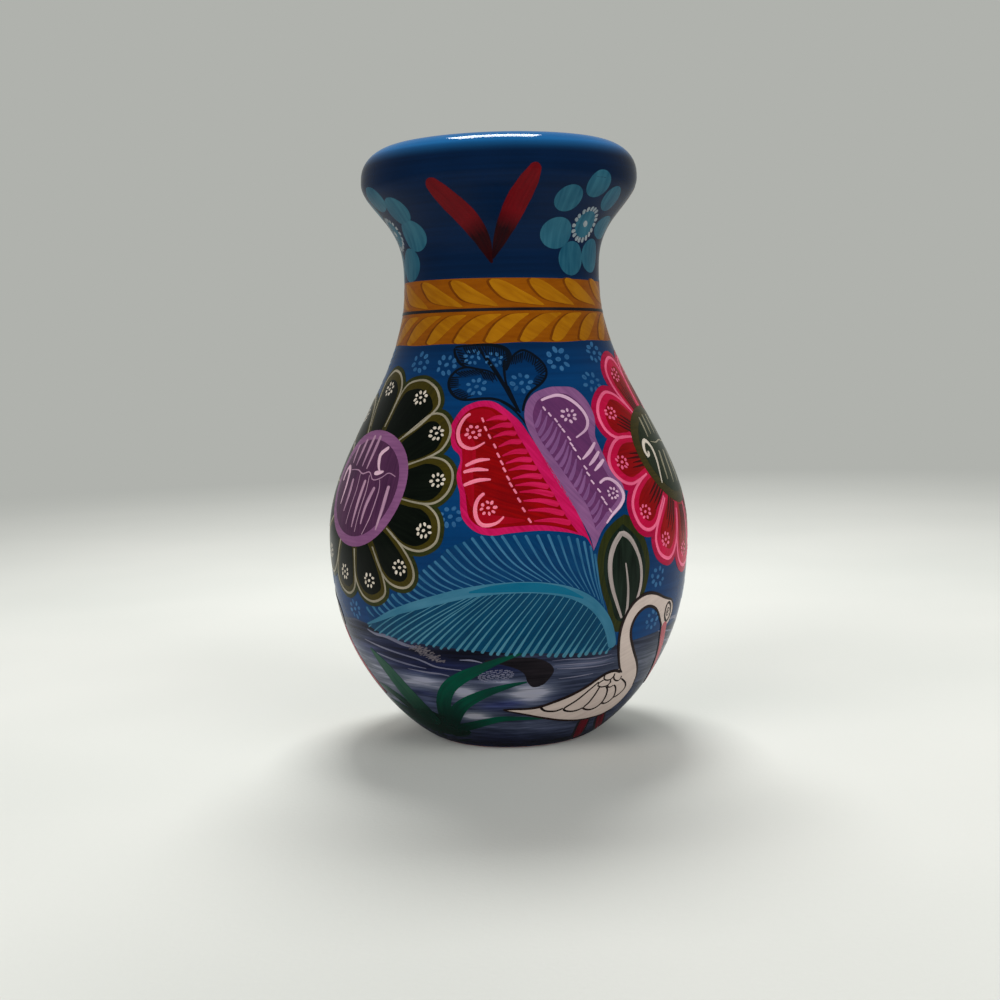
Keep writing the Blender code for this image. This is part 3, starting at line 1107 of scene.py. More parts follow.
# Degrees that a hatching stroke leans over for each millimetre up, by its turn
HATCH_LEANS = ((-53, 2.5), (-39, 2.3), (-29, 1.7), (-16, 1.2), (0, 0.88), (32, 0.8))
COMB = (
    ((-50.6, 37.8), (-47.4, 35.6)), ((-47.4, 38.6), (-43.8, 36)),
    ((-44.5, 38.2), (-40.5, 36.3)), ((-42.5, 39.8), (-38, 37.2)), ((-40.5, 41), (-35.5, 38)),
    ((-38, 41.9), (-32.5, 38.9)), ((-35.5, 42.5), (-29.5, 39.7)), ((-33, 43.3), (-26.5, 40.5)),
    ((-31, 44.3), (-23.5, 41.2)), ((-29.3, 45.6), (-20.5, 41.9)), ((-27.8, 47), (-17.5, 42.5)),
    ((-26, 48.3), (-14.8, 43)), ((-24.2, 49.4), (-12, 43.6)), ((-22.2, 50.4), (-9.2, 44.1)),
    ((-20, 51.7), (-6.4, 44.6)), ((-18.3, 53.2), (-3.6, 44.9)), ((-15.8, 54.2), (-1, 45.2)),
    ((-13.2, 55), (1.6, 45.4)), ((-10.7, 56), (4.2, 45.5)), ((-8, 56.4), (6.8, 45.5)),
    ((-5, 56.4), (9.4, 45.4)), ((-2, 56.4), (11.8, 45)), ((1.4, 56.4), (14.2, 44.6)),
    ((4.8, 56.3), (16.4, 44.2)), ((8.2, 56.3), (18.6, 43.6)), ((11.4, 56.3), (20.6, 43)),
    ((14.4, 56), (22.4, 42.3)), ((17.4, 55.6), (24.2, 41.5)), ((20, 55), (25.8, 40.7)),
    ((22.2, 54.2), (27.2, 39.8)), ((24.2, 53), (28.4, 38.8)), ((25.6, 51), (29.4, 37.6)),
)


def in_group(places, group):
    """Places of the front group carried round to another group."""
    shift, squeeze = group
    return [(HOME + shift + (turn - HOME) * squeeze, height) for turn, height in places]


frond_shade = Film(1)
frond_comb = Film(2, over=1)
frond_field = Film(2, over=1)
frond_hatch = Film(3, over=2)
frond_rib = Film(4, over=3)
rib_second = Film(5, over=4)
for group in GROUPS:
    crown = [start for start, end in COMB]
    root = [(turn, height_on(RIB, turn)) for turn in steps(30, -50, FIELD_STEP)]
    frond_shade.shape(in_group(crown + root, group), -45, 1)
    for i, (start, end) in enumerate(COMB):
        bend = (between(start[0], end[0], 0.42), between(start[1], end[1], 0.58))
        bold = between(1.5, 1, min(i / 12, 1))
        widths = (0.7 * bold, 0.5 * bold, 0.34 * bold, 0.2)
        frond_comb.stroke(in_group([start, bend, end], group), widths)
    upper = [(turn, height_on(RIB, turn)) for turn in steps(-52, 34.4, FIELD_STEP)]
    lower = [(turn, height_on(FIELD_FOOT, turn)) for turn in steps(34, -52, FIELD_STEP)]
    frond_field.shape(in_group(upper + lower, group), 50, 1)
    first, last = HATCH_ENDS
    for mark in steps(first, last, HATCH_PITCH):
        share = (mark - first) / (last - first)
        turn = mark + 0.5 * hand.random()
        low = height_on(FIELD_FOOT, turn) - between(0, 0.7, share) - 0.5 * hand.random()
        lean = height_on(HATCH_LEANS, turn)
        rise = 2 * HATCH_RISE
        while low + rise + HATCH_RISE < height_on(RIB, turn + lean * (rise + HATCH_RISE)) - HATCH_GAP:
            rise += HATCH_RISE
        middle = (turn + lean * rise * 0.48, low + rise * 0.5)
        top = (turn + lean * rise, low + rise)
        widths = (between(0.3, 1.25, share), between(0.32, 0.42, share), 0.22, 0.16)
        frond_hatch.stroke(in_group([(turn, low), middle, top], group), widths)
    frond_rib.stroke(in_group(RIB, group), RIB_WIDTHS)
    second = [(turn, height_on(RIB, turn) + 0.1) for turn in SECOND_COAT]
    rib_second.stroke(in_group(second, group), SECOND_WIDTHS)
frond_shade.dry("frond_shades", paint("deep_blue", thick=(0, 40, 78), thin=(4, 52, 90)))
frond_comb.dry("frond_combs", paint("comb_blue", thick=(56, 106, 136), thin=(28, 76, 108)))
frond_field.dry("frond_fields", paint("teal", thick=(4, 58, 86), thin=(4, 46, 72)))
frond_hatch.dry("frond_hatchings", paint("pale_teal", thick=(70, 120, 138), thin=(48, 98, 116)))
frond_rib.dry("frond_ribs", paint("rib_blue", thick=(58, 108, 130), thin=(38, 92, 116), streaks=0.8))
deep_teal = paint("deep_teal", thick=(2, 80, 108), thin=(14, 88, 114), streaks=0.8)
rib_second.dry("frond_second_coats", deep_teal)

# Side flowers
# Three big flowers round the widest part. Each petal is a dark shape in a softer halo, lined
# with a pale outline and marked with a ring of dots, and a scrolled disc covers the middle.
PETAL_DOTS = 1.85           # radius of the ring of dots
# Half outline of a petal: share of its reach and of its half width
PETAL = ((0.40, 0.56), (0.54, 0.78), (0.70, 0.98), (0.83, 1.0), (0.93, 0.82), (0.985, 0.45), (1.0, 0))


def petal(centre, degrees, reach, half):
    """Outline of a petal at an angle, from foot to foot, and the middle of its ring of dots."""
    angle = math.radians(degrees)
    side = [(reach * along, half * across) for along, across in PETAL]
    places = []
    for along, across in [*side, *((along, -across) for along, across in reversed(side[:-1]))]:
        right = along * math.cos(angle) - across * math.sin(angle)
        up = along * math.sin(angle) + across * math.cos(angle)
        places.append(moved(centre, right, up))
    out = 0.84 * reach
    return places, moved(centre, out * math.cos(angle), out * math.sin(angle))


def flower(name, centre, petals, margins, line_widths, finishes):
    """Petals of one flower, each an outline and the middle of its ring of dots.

    The margins are the halo round the petals, the field round the hearts, and how far the
    hearts sit in and down.
    """
    halo_width, inset, drift, drop = margins
    halo, field, core, line, dot = finishes
    halos = Film(3, over=2)
    fields = Film(4, over=3)
    hearts = Film(5, over=4)
    lines = Film(6, over=5)
    dots = Film(6, over=5)
    shapes = []
    for places, spot in petals:
        shape = smooth([centre, centre, *places], OUTLINE_STEP, closed=True)
        shapes.append(shape)
        right, up = step_between(spot, centre)
        lean = math.degrees(math.atan2(up, right))
        fields.fill([shape], lean)
        share = drift / math.hypot(right, up)
        heart = [moved(place, right * share, up * share - drop) for place in grown(shape, -inset)]
        hearts.fill([heart], lean)
        lines.stroke(places, line_widths)
        dots.ring_of_dots(spot, PETAL_DOTS)
    halos.fill([grown(shape, halo_width) for shape in shapes])
    halos.dry(name + "_halo", halo)
    fields.dry(name + "_fields", field)
    hearts.dry(name + "_hearts", core)
    lines.dry(name + "_lines", line)
    dots.dry(name + "_dots", dot)


# Each streak: millimetres aside of the petal's middle, share of its length
STREAKS = ((-2.0, 0.82), (-0.7, 0.90), (0.6, 0.84), (1.9, 0.88))
STREAK_WIDTHS = (0.75, 0.65, 0.2)


def petal_streaks(name, centre, petals, material):
    """Dark strokes drawn out of the middle of a flower along each petal."""
    streaks = Film(6, over=5)
    for places, spot in petals:
        right, up = step_between(centre, spot)
        length = math.hypot(right, up)
        for aside, out in STREAKS:
            line = []
            for share in (0.55, 0.70, out):
                wide = aside * (0.4 + 0.6 * share) / length
                line.append(moved(centre, share * right - wide * up, share * up + wide * right))
            streaks.stroke(line, STREAK_WIDTHS)
    streaks.dry(name + "_streaks", material)


SCROLL_WIDTHS = (0.9, 1.15, 0.9, 0.4)
THREAD_WIDTHS = (0.2, 0.35, 0.3, 0.2)
ACCENT_WIDTHS = (0.9, 1.2, 1.0, 0.4)


def disc(name, centre, size, strokes, finishes):
    """Disc in the middle of a flower, with bright accents, thick scrolls and thin threads."""
    right, up, border_width = size
    accents, scrolls, threads = strokes
    border, field, stroke, accent = finishes
    rim = Film(7, over=6)
    rim.fill([oval(centre, right, up, count=72)])
    rim.dry(name + "_disc_rim", border)
    middle = Film(8, over=7)
    middle.fill([oval(centre, right - border_width, up - border_width, count=60)], lean=90)
    middle.dry(name + "_disc", field)
    marks = Film(9, over=8)
    for scroll in scrolls:
        marks.stroke(scroll, SCROLL_WIDTHS)
    for thread in threads:
        marks.stroke(thread, THREAD_WIDTHS)
    marks.dry(name + "_disc_scrolls", stroke)
    bright = Film(9, over=8)
    for scroll in accents:
        bright.stroke(scroll, ACCENT_WIDTHS)
    bright.dry(name + "_disc_accents", accent)


cream = paint("cream", thick=(152, 144, 126), thin=(112, 106, 90))
bone = paint("bone", thick=(206, 196, 182), thin=(172, 162, 146))
olive = paint("olive", thick=(46, 48, 14), thin=(28, 34, 12))
lilac = paint("lilac", thick=(128, 80, 120), thin=(104, 62, 100))
plum = paint("plum", thick=(78, 40, 72), thin=(60, 30, 58))
pale_lilac = paint("pale_lilac", thick=(178, 140, 160), thin=(146, 108, 136))
lilac_pink = paint("lilac_pink", thick=(216, 180, 194), thin=(188, 150, 172))
green_black = paint("green_black", thick=(0, 3, 1), thin=(6, 12, 6))
olive_brown = paint("olive_brown", thick=(58, 50, 8), thin=(42, 38, 8))
LEFT_FLOWER = (-55.5, 66.8)
LEFT_PETALS = [
    (((-65, 81), (-70, 88), (-70.5, 92), (-65, 94.3), (-60, 94.3), (-55, 93), (-51.5, 90), (-52, 85),
      (-53, 81)), (-62, 90)),
    (((-52, 84), (-50.5, 88.5), (-48, 91), (-43, 92), (-37, 92), (-31, 90.3), (-28, 88), (-27.5, 86),
      (-30, 84), (-35, 81), (-42, 78)), (-37.5, 88)),
    (((-42, 77.8), (-35, 81.7), (-30, 84), (-25, 84), (-21.5, 82), (-20.3, 79.5), (-22, 76.5),
      (-25, 74.9), (-30, 73.5), (-35, 72.5)), (-25.8, 79.7)),
    (((-35, 72.3), (-30, 73.5), (-26, 74.2), (-21, 73.5), (-18, 71.5), (-17.3, 69), (-18.5, 66.3),
      (-21.5, 64.2), (-25, 63.6), (-30, 64), (-35, 64.7)), (-22.3, 69)),
    (((-35, 64.7), (-30, 64), (-25, 63.3), (-21.5, 61), (-20.5, 58), (-21.5, 54.8), (-25, 53),
      (-28.5, 52.7), (-33, 54), (-39, 57.7)), (-25.5, 57.5)),
    (((-39, 57.7), (-36, 56), (-32, 52.5), (-29.5, 49), (-29.3, 46), (-31.5, 44), (-35, 43.7), (-39, 45),
      (-42, 48), (-44.8, 53)), (-34, 48.5)),
    (((-45, 53), (-41.5, 47.5), (-40.3, 42.5), (-43, 40.3), (-47, 39.5), (-51, 40.5), (-53.5, 43),
      (-54.5, 46), (-54, 52)), (-47.2, 44.6)),
    (((-54.3, 52), (-54.5, 46), (-55.5, 42.5), (-58.5, 40.7), (-62, 40.5), (-66, 42), (-68, 45),
      (-66, 50), (-63.5, 53.5)), (-61.5, 45.7)),
    *(petal(LEFT_FLOWER, degrees, 28.5, 5.8) for degrees in (227, 195, 162, 130)),
]
LEFT_SCROLLS = (
    ((-67.5, 76.5), (-67.3, 74), (-66.8, 72)),
    ((-62, 78), (-62.3, 75), (-62.8, 71.5)),
    ((-57, 79), (-57.6, 75), (-58, 71.5)),
    ((-53, 79), (-53.6, 75), (-54.5, 71)),
    ((-61.5, 68.5), (-61.5, 64.5), (-63, 60.5)),
    ((-53, 68.5), (-54.2, 63), (-56, 57)),
    ((-47, 67), (-49.5, 62.5), (-51, 58)),
    ((-40.5, 67.5), (-41.5, 62), (-43.5, 57)),
)
LEFT_ACCENTS = (
    ((-45.5, 76.3), (-48.8, 74.8), (-48.8, 73.3), (-47.6, 71.4), (-46.5, 70.7)),
    ((-49.2, 70.2), (-47, 70.3), (-44.6, 70.7)),
    ((-71, 67.5), (-71, 69.5), (-69.5, 71), (-67, 70), (-66, 66.5), (-67, 62)),
)
LEFT_THREADS = (
    ((-66, 70.4), (-60, 70.6), (-56, 69.8), (-52, 70.4), (-49, 68.6), (-45, 69.2), (-42, 70.4),
     (-38.6, 69.6)),
    ((-45.5, 68.8), (-44.6, 66), (-46.5, 60), (-50, 55.6)),
    ((-51.5, 69.6), (-51, 66), (-52.4, 61), (-54, 56)),
    ((-57.5, 69.8), (-57, 66), (-58.6, 61), (-60, 57.5)),
)
flower("left_flower", LEFT_FLOWER, LEFT_PETALS, (1.3, 1.15, 0.9, 0.35), (0.35, 0.5, 0.6, 0.55, 0.35),
       (olive, olive_brown, green_black, cream, bone))
disc("left_flower", LEFT_FLOWER, (16.6, 14.8, 2.5), (LEFT_ACCENTS, LEFT_SCROLLS, LEFT_THREADS),
     (lilac, plum, pale_lilac, lilac_pink))

magenta = paint("magenta", thick=(160, 4, 58), thin=(134, 2, 42))
rose = paint("rose_pink", thick=(182, 8, 62), thin=(156, 4, 46))
crimson = paint("crimson", thick=(138, 2, 8), thin=(110, 0, 5))
maroon = paint("maroon", thick=(44, 2, 4), thin=(62, 3, 7))
pale_pink = paint("pale_pink", thick=(228, 104, 138), thin=(196, 76, 112))
moss = paint("moss_green", thick=(28, 38, 20), thin=(18, 28, 14))
moss_rim = paint("moss_rim", thick=(58, 50, 12), thin=(42, 38, 10))
greyed_cream = paint("greyed_cream", thick=(146, 138, 118), thin=(108, 106, 84))
RIGHT_FLOWER = (72.5, 72.3)
RIGHT_PETALS = [
    (((61.5, 82.5), (57, 86.5), (54.5, 90), (54.5, 93), (58, 95.3), (63, 96.3), (68, 95.5), (71, 93),
      (72, 89), (71.5, 85)), (62, 92)),
    (((61.5, 82.5), (56, 86), (52, 87.5), (47, 88), (42, 86.3), (39, 84), (38.3, 81.5), (39.5, 79),
      (43, 77.3), (49, 77.2), (54.5, 77)), (45.5, 83)),
    (((54, 76.8), (50, 77.2), (45, 77.2), (41, 76.2), (37.5, 74), (35.8, 71.5), (36.7, 69), (39.5, 67),
      (43, 66.3), (47, 67), (52, 68.2)), (41.5, 71.5)),
    (((52, 68.2), (48, 67), (44, 65), (41.5, 62.5), (41, 60), (42.5, 57), (45, 55.4), (48, 55.2),
      (51, 56.5), (54, 59.5), (58, 62.5)), (46, 59.5)),
    (((58.5, 62), (54, 58.5), (51, 55.5), (50, 52.5), (51.5, 49.5), (54.5, 47.8), (58, 47.2), (61, 48.5),
      (63, 51), (64.5, 55), (65.5, 59)), (55.5, 52)),
    (((65.5, 59), (64, 55), (63.8, 51), (65, 47), (68, 44.7), (72, 44), (76, 45), (78.8, 48), (79, 53),
      (77.5, 58.5)), (70.5, 48.3)),
    *(petal(RIGHT_FLOWER, degrees, 27.5, 5.5) for degrees in (293, 321, 350, 19, 48, 76)),
]
RIGHT_ACCENTS = (
    ((58.5, 73.3), (57, 72), (56, 73.5), (57.5, 75.3), (60, 75.8), (62.3, 74), (62, 71), (60.5, 68),
     (59.5, 65.5)),
)
RIGHT_SCROLLS = (
    ((64.5, 81.5), (64.2, 79), (63.5, 76.5)),
    ((69.5, 82), (69, 79.5), (68, 77)),
    ((75, 82), (74.4, 79.5), (73.4, 77)),
    ((80.5, 81), (79.8, 78.8), (79, 76.5)),
    ((68, 73), (66.2, 70), (65, 66)),
    ((74, 73), (71.8, 70), (70, 65)),
    ((80.5, 73), (78, 69.5), (76, 64.8)),
    ((87, 73), (84.6, 70), (82.6, 66)),
)
RIGHT_THREADS = (((64, 75.4), (69, 75), (75, 75.4), (81, 74.8), (87, 75.2)),)
flower("right_flower", RIGHT_FLOWER, RIGHT_PETALS, (1.8, 1.6, 0.8, 0), (0.5, 0.75, 0.85, 0.8, 0.5),
       (magenta, rose, crimson, pale_pink, pale_pink))
petal_streaks("right_flower", RIGHT_FLOWER, RIGHT_PETALS, maroon)
disc("right_flower", RIGHT_FLOWER, (15.4, 13.2, 2.8), (RIGHT_ACCENTS, RIGHT_SCROLLS, RIGHT_THREADS),
     (moss_rim, moss, greyed_cream, bone))

BACK_FLOWER = (188.5, 66.8)
BACK_SCALE = 0.8


def mirrored(places):
    """Places of the left flower, turned over, made smaller and carried round to the back."""
    turned_over = []
    for turn, height in places:
        aside = (LEFT_FLOWER[0] - turn) * BACK_SCALE
        up = (height - LEFT_FLOWER[1]) * BACK_SCALE
        turned_over.append((BACK_FLOWER[0] + aside, BACK_FLOWER[1] + up))
    return turned_over


violet = paint("violet", thick=(88, 46, 92), thin=(70, 36, 78))
deep_violet = paint("deep_violet", thick=(40, 18, 50), thin=(30, 12, 40))
BACK_PETALS = [(mirrored(places), mirrored([spot])[0]) for places, spot in LEFT_PETALS]
LEFT_STROKES = (LEFT_ACCENTS, LEFT_SCROLLS, LEFT_THREADS)
BACK_STROKES = [[mirrored(places) for places in strokes] for strokes in LEFT_STROKES]
flower("back_flower", BACK_FLOWER, BACK_PETALS, (1.5, 1.1, 0, 0), (0.4, 0.55, 0.65, 0.6, 0.4),
       (lilac, violet, deep_violet, pale_lilac, lilac_pink))
disc("back_flower", BACK_FLOWER, (13.0, 11.4, 1.9), BACK_STROKES, (magenta, crimson, pale_pink, pale_pink))

# Heart leaves
# Over each frond stand two leaves like halves of a heart, one pink and red and one lilac and
# plum. Each is a bright border round a darker field, with combed strokes, scrolls and dots.
PINK_LEAF = (
    (25.2, 52), (25.2, 52), (23.1, 54.8), (20, 55.9), (15.4, 56.7), (8.5, 57.2), (0, 56.8), (-3.8, 56.4),
    (-6.9, 56.6), (-9.2, 57.2), (-11.5, 58.5), (-13.5, 60.5), (-14.2, 62.8), (-14.6, 66), (-15.9, 69),
    (-16, 71), (-15.3, 73.4), (-16.2, 74.9), (-18.7, 76.4), (-20, 78.9), (-20.6, 81.4), (-17.3, 85.1),
    (-13.8, 86.4), (-10, 87), (-6.2, 87), (-3.1, 86.4), (0, 85.1), (2.7, 83.7), (5.4, 82), (7.7, 79.7),
    (10.4, 76.6), (13.1, 73.2), (15.8, 69.3), (18.1, 65.8), (20.2, 62.4), (22.7, 57.1),
)
PINK_FIELD = (
    (20.5, 56.2), (20.5, 56.2), (15, 57.7), (8.5, 58.5), (0, 58.3), (-5, 58), (-9, 58.8), (-11.4, 60.6),
    (-12.2, 63), (-12.8, 66), (-14.2, 69), (-14.4, 71), (-13.6, 73.4), (-14.4, 75.4), (-17, 77),
    (-18.3, 79.2), (-18.2, 81.6), (-15.5, 84.2), (-12, 85.4), (-8, 85.7), (-5, 85.3), (-3.1, 84.7),
    (0.8, 82.8), (2.7, 81.2), (4.2, 78.9), (6.5, 76.2), (8.8, 72.8), (11.5, 68.9), (14.2, 65.1),
    (16.2, 61.6), (18.5, 58.5),
)
PINK_DASHES = (
    (-8.4, 82.6), (-7.2, 80.6), (-5.7, 78.8), (-3.8, 76.6), (-2.6, 74.5), (-1.5, 72.8), (-0.7, 71.2),
    (0.4, 69.3), (1.2, 67.8), (2.4, 66.3), (3.5, 64.3), (4.7, 62.1), (6.3, 59.6),
)
PINK_SCROLLS = (
    ((-13.3, 84.1), (-15.4, 83.2), (-17.1, 81.2), (-17.3, 79.3), (-15.8, 77.2), (-13.1, 76.2),
     (-10.8, 76.2), (-7.3, 77.5)),
    ((-6.9, 66), (-8.5, 65.1), (-9.6, 63.2), (-9.4, 60.8), (-8.1, 59.1), (-6, 58.7), (-3.1, 59.3),
     (-1.2, 60.7)),
    ((-13.5, 72.2), (-9.5, 73.4), (-5.4, 73.6)),
    ((-14, 70.8), (-9.9, 71.4), (-5.8, 71.2)),
    ((-13.6, 67.8), (-9.4, 68.9), (-5, 69.1)),
)
PURPLE_LEAF = (
    (25.2, 51.7), (25.2, 51.7), (24.6, 54.4), (23.1, 57.1), (20.8, 60.5), (18.1, 64.4), (15.4, 68.2),
    (12.7, 72.5), (10, 77.1), (8.3, 79.8), (7.3, 82.1), (7.5, 84.4), (8.8, 86.5), (11.5, 88.2),
    (15.4, 89.2), (20, 89.8), (24.6, 89.8), (29.2, 89.6), (31.9, 88.8), (34.2, 87.3), (35.8, 85.2),
    (36.2, 82.8), (35.4, 80.7), (34.2, 79.2), (33.5, 77.8), (33.8, 75.9), (34.6, 73.2), (35.2, 70.9),
    (36.5, 69), (38.5, 67), (39, 65.2), (38.5, 63.2), (36.5, 61.3), (33.8, 59.8), (30.8, 58.2),
    (28, 55.9), (26.2, 53.2),
)
PURPLE_FIELD = (
    (26.3, 56.6), (26.3, 56.6), (25.4, 59.4), (24.2, 62.5), (21.9, 65.5), (19.2, 69), (16.5, 72.5),
    (14.2, 75.2), (11.5, 78.6), (10.4, 82.5), (11.2, 84.8), (13.5, 86.9), (17.3, 87.7), (23, 88.2),
    (26.9, 87.8), (30.8, 85.9), (32.9, 83.6), (32.6, 81.4), (31.2, 79.6), (31, 77.4), (31.8, 74.4),
    (32.8, 71), (34, 68.6), (35.6, 66.6), (36.2, 65), (35.4, 63.2), (33, 61.6), (30.4, 60), (28.2, 58),
)
PURPLE_DASHES = (
    (15.4, 84.8), (17.2, 83.4), (19.2, 82), (20.2, 80.7), (21.2, 79.6), (22.7, 77.7), (23.1, 76.3),
    (23.8, 75.2), (24.8, 73.2), (26.2, 70.9), (26.7, 69.4), (27.6, 67.5), (29.3, 65.5), (30.1, 63.6),
    (30.8, 62.5), (32.1, 60.7),
)
PURPLE_SCROLLS = (
    ((14.6, 86.7), (17.3, 87.3), (21.5, 87.8), (24.6, 87.5), (27.7, 86.5), (30.4, 85), (32.1, 83.2),
     (32.3, 81.5), (30.8, 79.8), (28.5, 78.8), (25.4, 77.8)),
    ((32.5, 76.5), (29.5, 74.6), (25.8, 72.8)),
    ((33, 74.4), (30.5, 72.8), (27.7, 71.3)),
    ((34, 72.5), (31.8, 71.3), (29.2, 70)),
    ((30, 67.1), (32.3, 68), (34.6, 67.8), (36.9, 66.5), (38, 64.8), (37.8, 63.2), (35.8, 61.5),
     (32.7, 59.8), (30, 57.8)),
)
PINK_BLUSH = (
    (((-14.6, 82.6), (-11, 83.6), (-6.5, 83.6), (-2.5, 82.4)), (3.0, 3.6, 3.0, 0.8)),
    (((-16.4, 79.4), (-13.2, 77), (-12.4, 73.6), (-12.6, 70.6), (-11.4, 66.4), (-10.6, 63)),
     (3.0, 3.4, 3.0, 2.4, 0.8)),
    (((-10.4, 61), (-6, 60.2), (0, 59.8), (5, 59.6)), (2.0, 2.2, 1.6, 0.4)),
)
PINK_DOTS = (((-11.7, 79.8), 1.9), ((-5.8, 62.7), 1.8))
PURPLE_DOTS = (((24.8, 83), 1.9), ((34.2, 64.6), 1.5))
# The parts of the fields' outlines at which the combed strokes end
PINK_EDGE = smooth(PINK_FIELD[21:], 0.5)
PURPLE_EDGE = smooth(PURPLE_FIELD[1:10], 0.5)[::-1]
pink_leaves = Film(4, over=3)
pink_fields = Film(5, over=4)
pink_blush = Film(5.4, over=5)
pink_combs = Film(6, over=5)
pink_scrolls = Film(7, over=6)
purple_leaves = Film(4, over=3)
purple_fields = Film(5, over=4)
purple_combs = Film(6, over=5)
purple_scrolls = Film(7, over=6)


def comb(film, group, dashes, edge, aside, first, drop, widths):
    """Strokes combed from beside the dashes to an edge, from a share of its length onwards."""
    for i, (turn, height) in enumerate(dashes):
        root = (turn + aside, height - 0.2)
        target = edge[int((len(edge) - 1) * between(first, 1, i / (len(dashes) - 1)))]
        middle = (between(root[0], target[0], 0.5), between(root[1], target[1], 0.5) + drop)
        film.stroke(in_group([root, middle, target], group), widths)


def dot_rings(film, group, rings):
    """Rings of dots, each the place of its middle and its radius."""
    for centre, size in rings:
        film.ring_of_dots(in_group([centre], group)[0], size)


def trim(film, group, dashes, scrolls, rings, rise, width, widths):
    """Dashes, scrolls and rings of dots in the field of a leaf."""
    for turn, height in dashes:
        film.stroke(in_group([(turn - 0.5, height + rise), (turn + 0.4, height - rise)], group), width)
    for scroll in scrolls:
        film.stroke(in_group(scroll, group), widths)
    dot_rings(film, group, rings)


for group in GROUPS:
    pink_leaves.shape(in_group(PINK_LEAF, group), -50)
    pink_fields.shape(in_group(PINK_FIELD, group), -20)
    comb(
        pink_combs, group, PINK_DASHES, PINK_EDGE,
        aside=1.2, first=0.10, drop=0.5, widths=(0.3, 0.7, 1.1, 1.4, 1.3),
    )
    for places, widths in PINK_BLUSH:
        pink_blush.stroke(in_group(places, group), widths)
    trim(
        pink_scrolls, group, PINK_DASHES, PINK_SCROLLS, PINK_DOTS,
        rise=0.55, width=0.5, widths=(0.7, 0.95, 0.9, 0.4),
    )
    purple_leaves.shape(in_group(PURPLE_LEAF, group), -50)
    purple_fields.shape(in_group(PURPLE_FIELD, group), -50)
    comb(
        purple_combs, group, PURPLE_DASHES, PURPLE_EDGE,
        aside=-1.2, first=0.08, drop=-0.4, widths=(0.3, 0.6, 0.9, 1.05, 1.0),
    )
    trim(
        purple_scrolls, group, PURPLE_DASHES, PURPLE_SCROLLS, PURPLE_DOTS,
        rise=0.5, width=0.45, widths=(0.6, 0.9, 0.85, 0.4),
    )
pink_leaves.dry("pink_leaves", paint("bright_pink", thick=(184, 20, 84), thin=(152, 4, 58)))
pink_fields.dry("pink_leaf_fields", paint("deep_red", thick=(132, 2, 4), thin=(100, 0, 4)))
pink_blush.dry("pink_leaf_blushes", paint("carmine", thick=(146, 3, 26), thin=(130, 1, 12)))
pink_combs.dry("pink_leaf_combs", paint("comb_pink", thick=(186, 24, 76), thin=(158, 8, 48)))
pink_scrolls.dry("pink_leaf_scrolls", paint("shell_pink", thick=(228, 126, 146), thin=(200, 98, 124)))
purple_leaves.dry("purple_leaves", paint("bright_lilac", thick=(130, 84, 126), thin=(104, 66, 106)))
purple_fields.dry("purple_leaf_fields", paint("deep_purple", thick=(92, 46, 88), thin=(78, 40, 80)))
purple_combs.dry("purple_leaf_combs", paint("comb_lilac", thick=(122, 80, 124), thin=(102, 64, 106)))
lilac_white = paint("lilac_white", thick=(208, 174, 194), thin=(172, 136, 162))
purple_scrolls.dry("purple_leaf_scrolls", lilac_white)

# Sprays
# Between the leaves and the ropes opens a spray of four lobes, drawn on the ground in fine
# black line with short ticks inside the edge and a ring of pale dots in each lobe.
STEMS = (
    (((-8, 97.2), (-5, 94.8), (-2, 92.3), (0.6, 89.8), (3, 87), (5.6, 84.2)), (0.6, 1.1, 1.0, 0.8, 0.5)),
    (((-12, 99.6), (-9.6, 97.6), (-7, 95.8), (-4, 93.6)), (0.4, 0.6, 0.5)),
    (((0.3, 96.4), (0.1, 94), (0.6, 91.4), (1.8, 89)), (0.9, 0.6, 0.45)),
    (((5, 84.4), (0.5, 86.4), (-4, 87.4), (-9, 87.6), (-14, 87.4), (-18, 87.5), (-21.5, 88.4),
      (-24.3, 90.2), (-25, 92), (-23.6, 93.6), (-21, 94.6), (-17, 95), (-12, 94.5), (-7, 94), (-4, 93)),
     (0.5, 0.7, 0.7, 0.8, 0.6, 0.4)),
    (((-17, 95), (-20, 95.6), (-22.5, 96.8), (-24.4, 98.4), (-24.8, 99.6)), (0.5, 0.8, 0.6)),
    (((-24.6, 99.8), (-19, 100.1), (-12, 100.2), (-6, 100.1), (-1, 99.6), (1.6, 98.8), (2.8, 97.4),
      (2.2, 95.8), (0.8, 94)), (0.5, 0.6, 0.8, 1.0, 1.3, 0.7)),
    (((6.8, 84.4), (8, 86.6), (10.4, 88.6), (13.4, 89.8), (16.6, 91), (19, 92.6), (19.4, 94.4),
      (17.6, 96), (15, 97.3), (12, 98.3), (9, 98.7), (5.6, 97.9), (2.8, 96.4), (1, 94.4)),
     (0.5, 0.7, 0.7, 0.6, 0.6, 0.6, 0.6, 0.4)),
    (((5.8, 84), (3.8, 87), (1.6, 90.4)), (0.4, 0.5, 0.3)),
    (((-2, 86.9), (2.5, 85.2), (6.4, 82.6), (8.6, 80)), (0.3, 0.5, 0.4)),
)
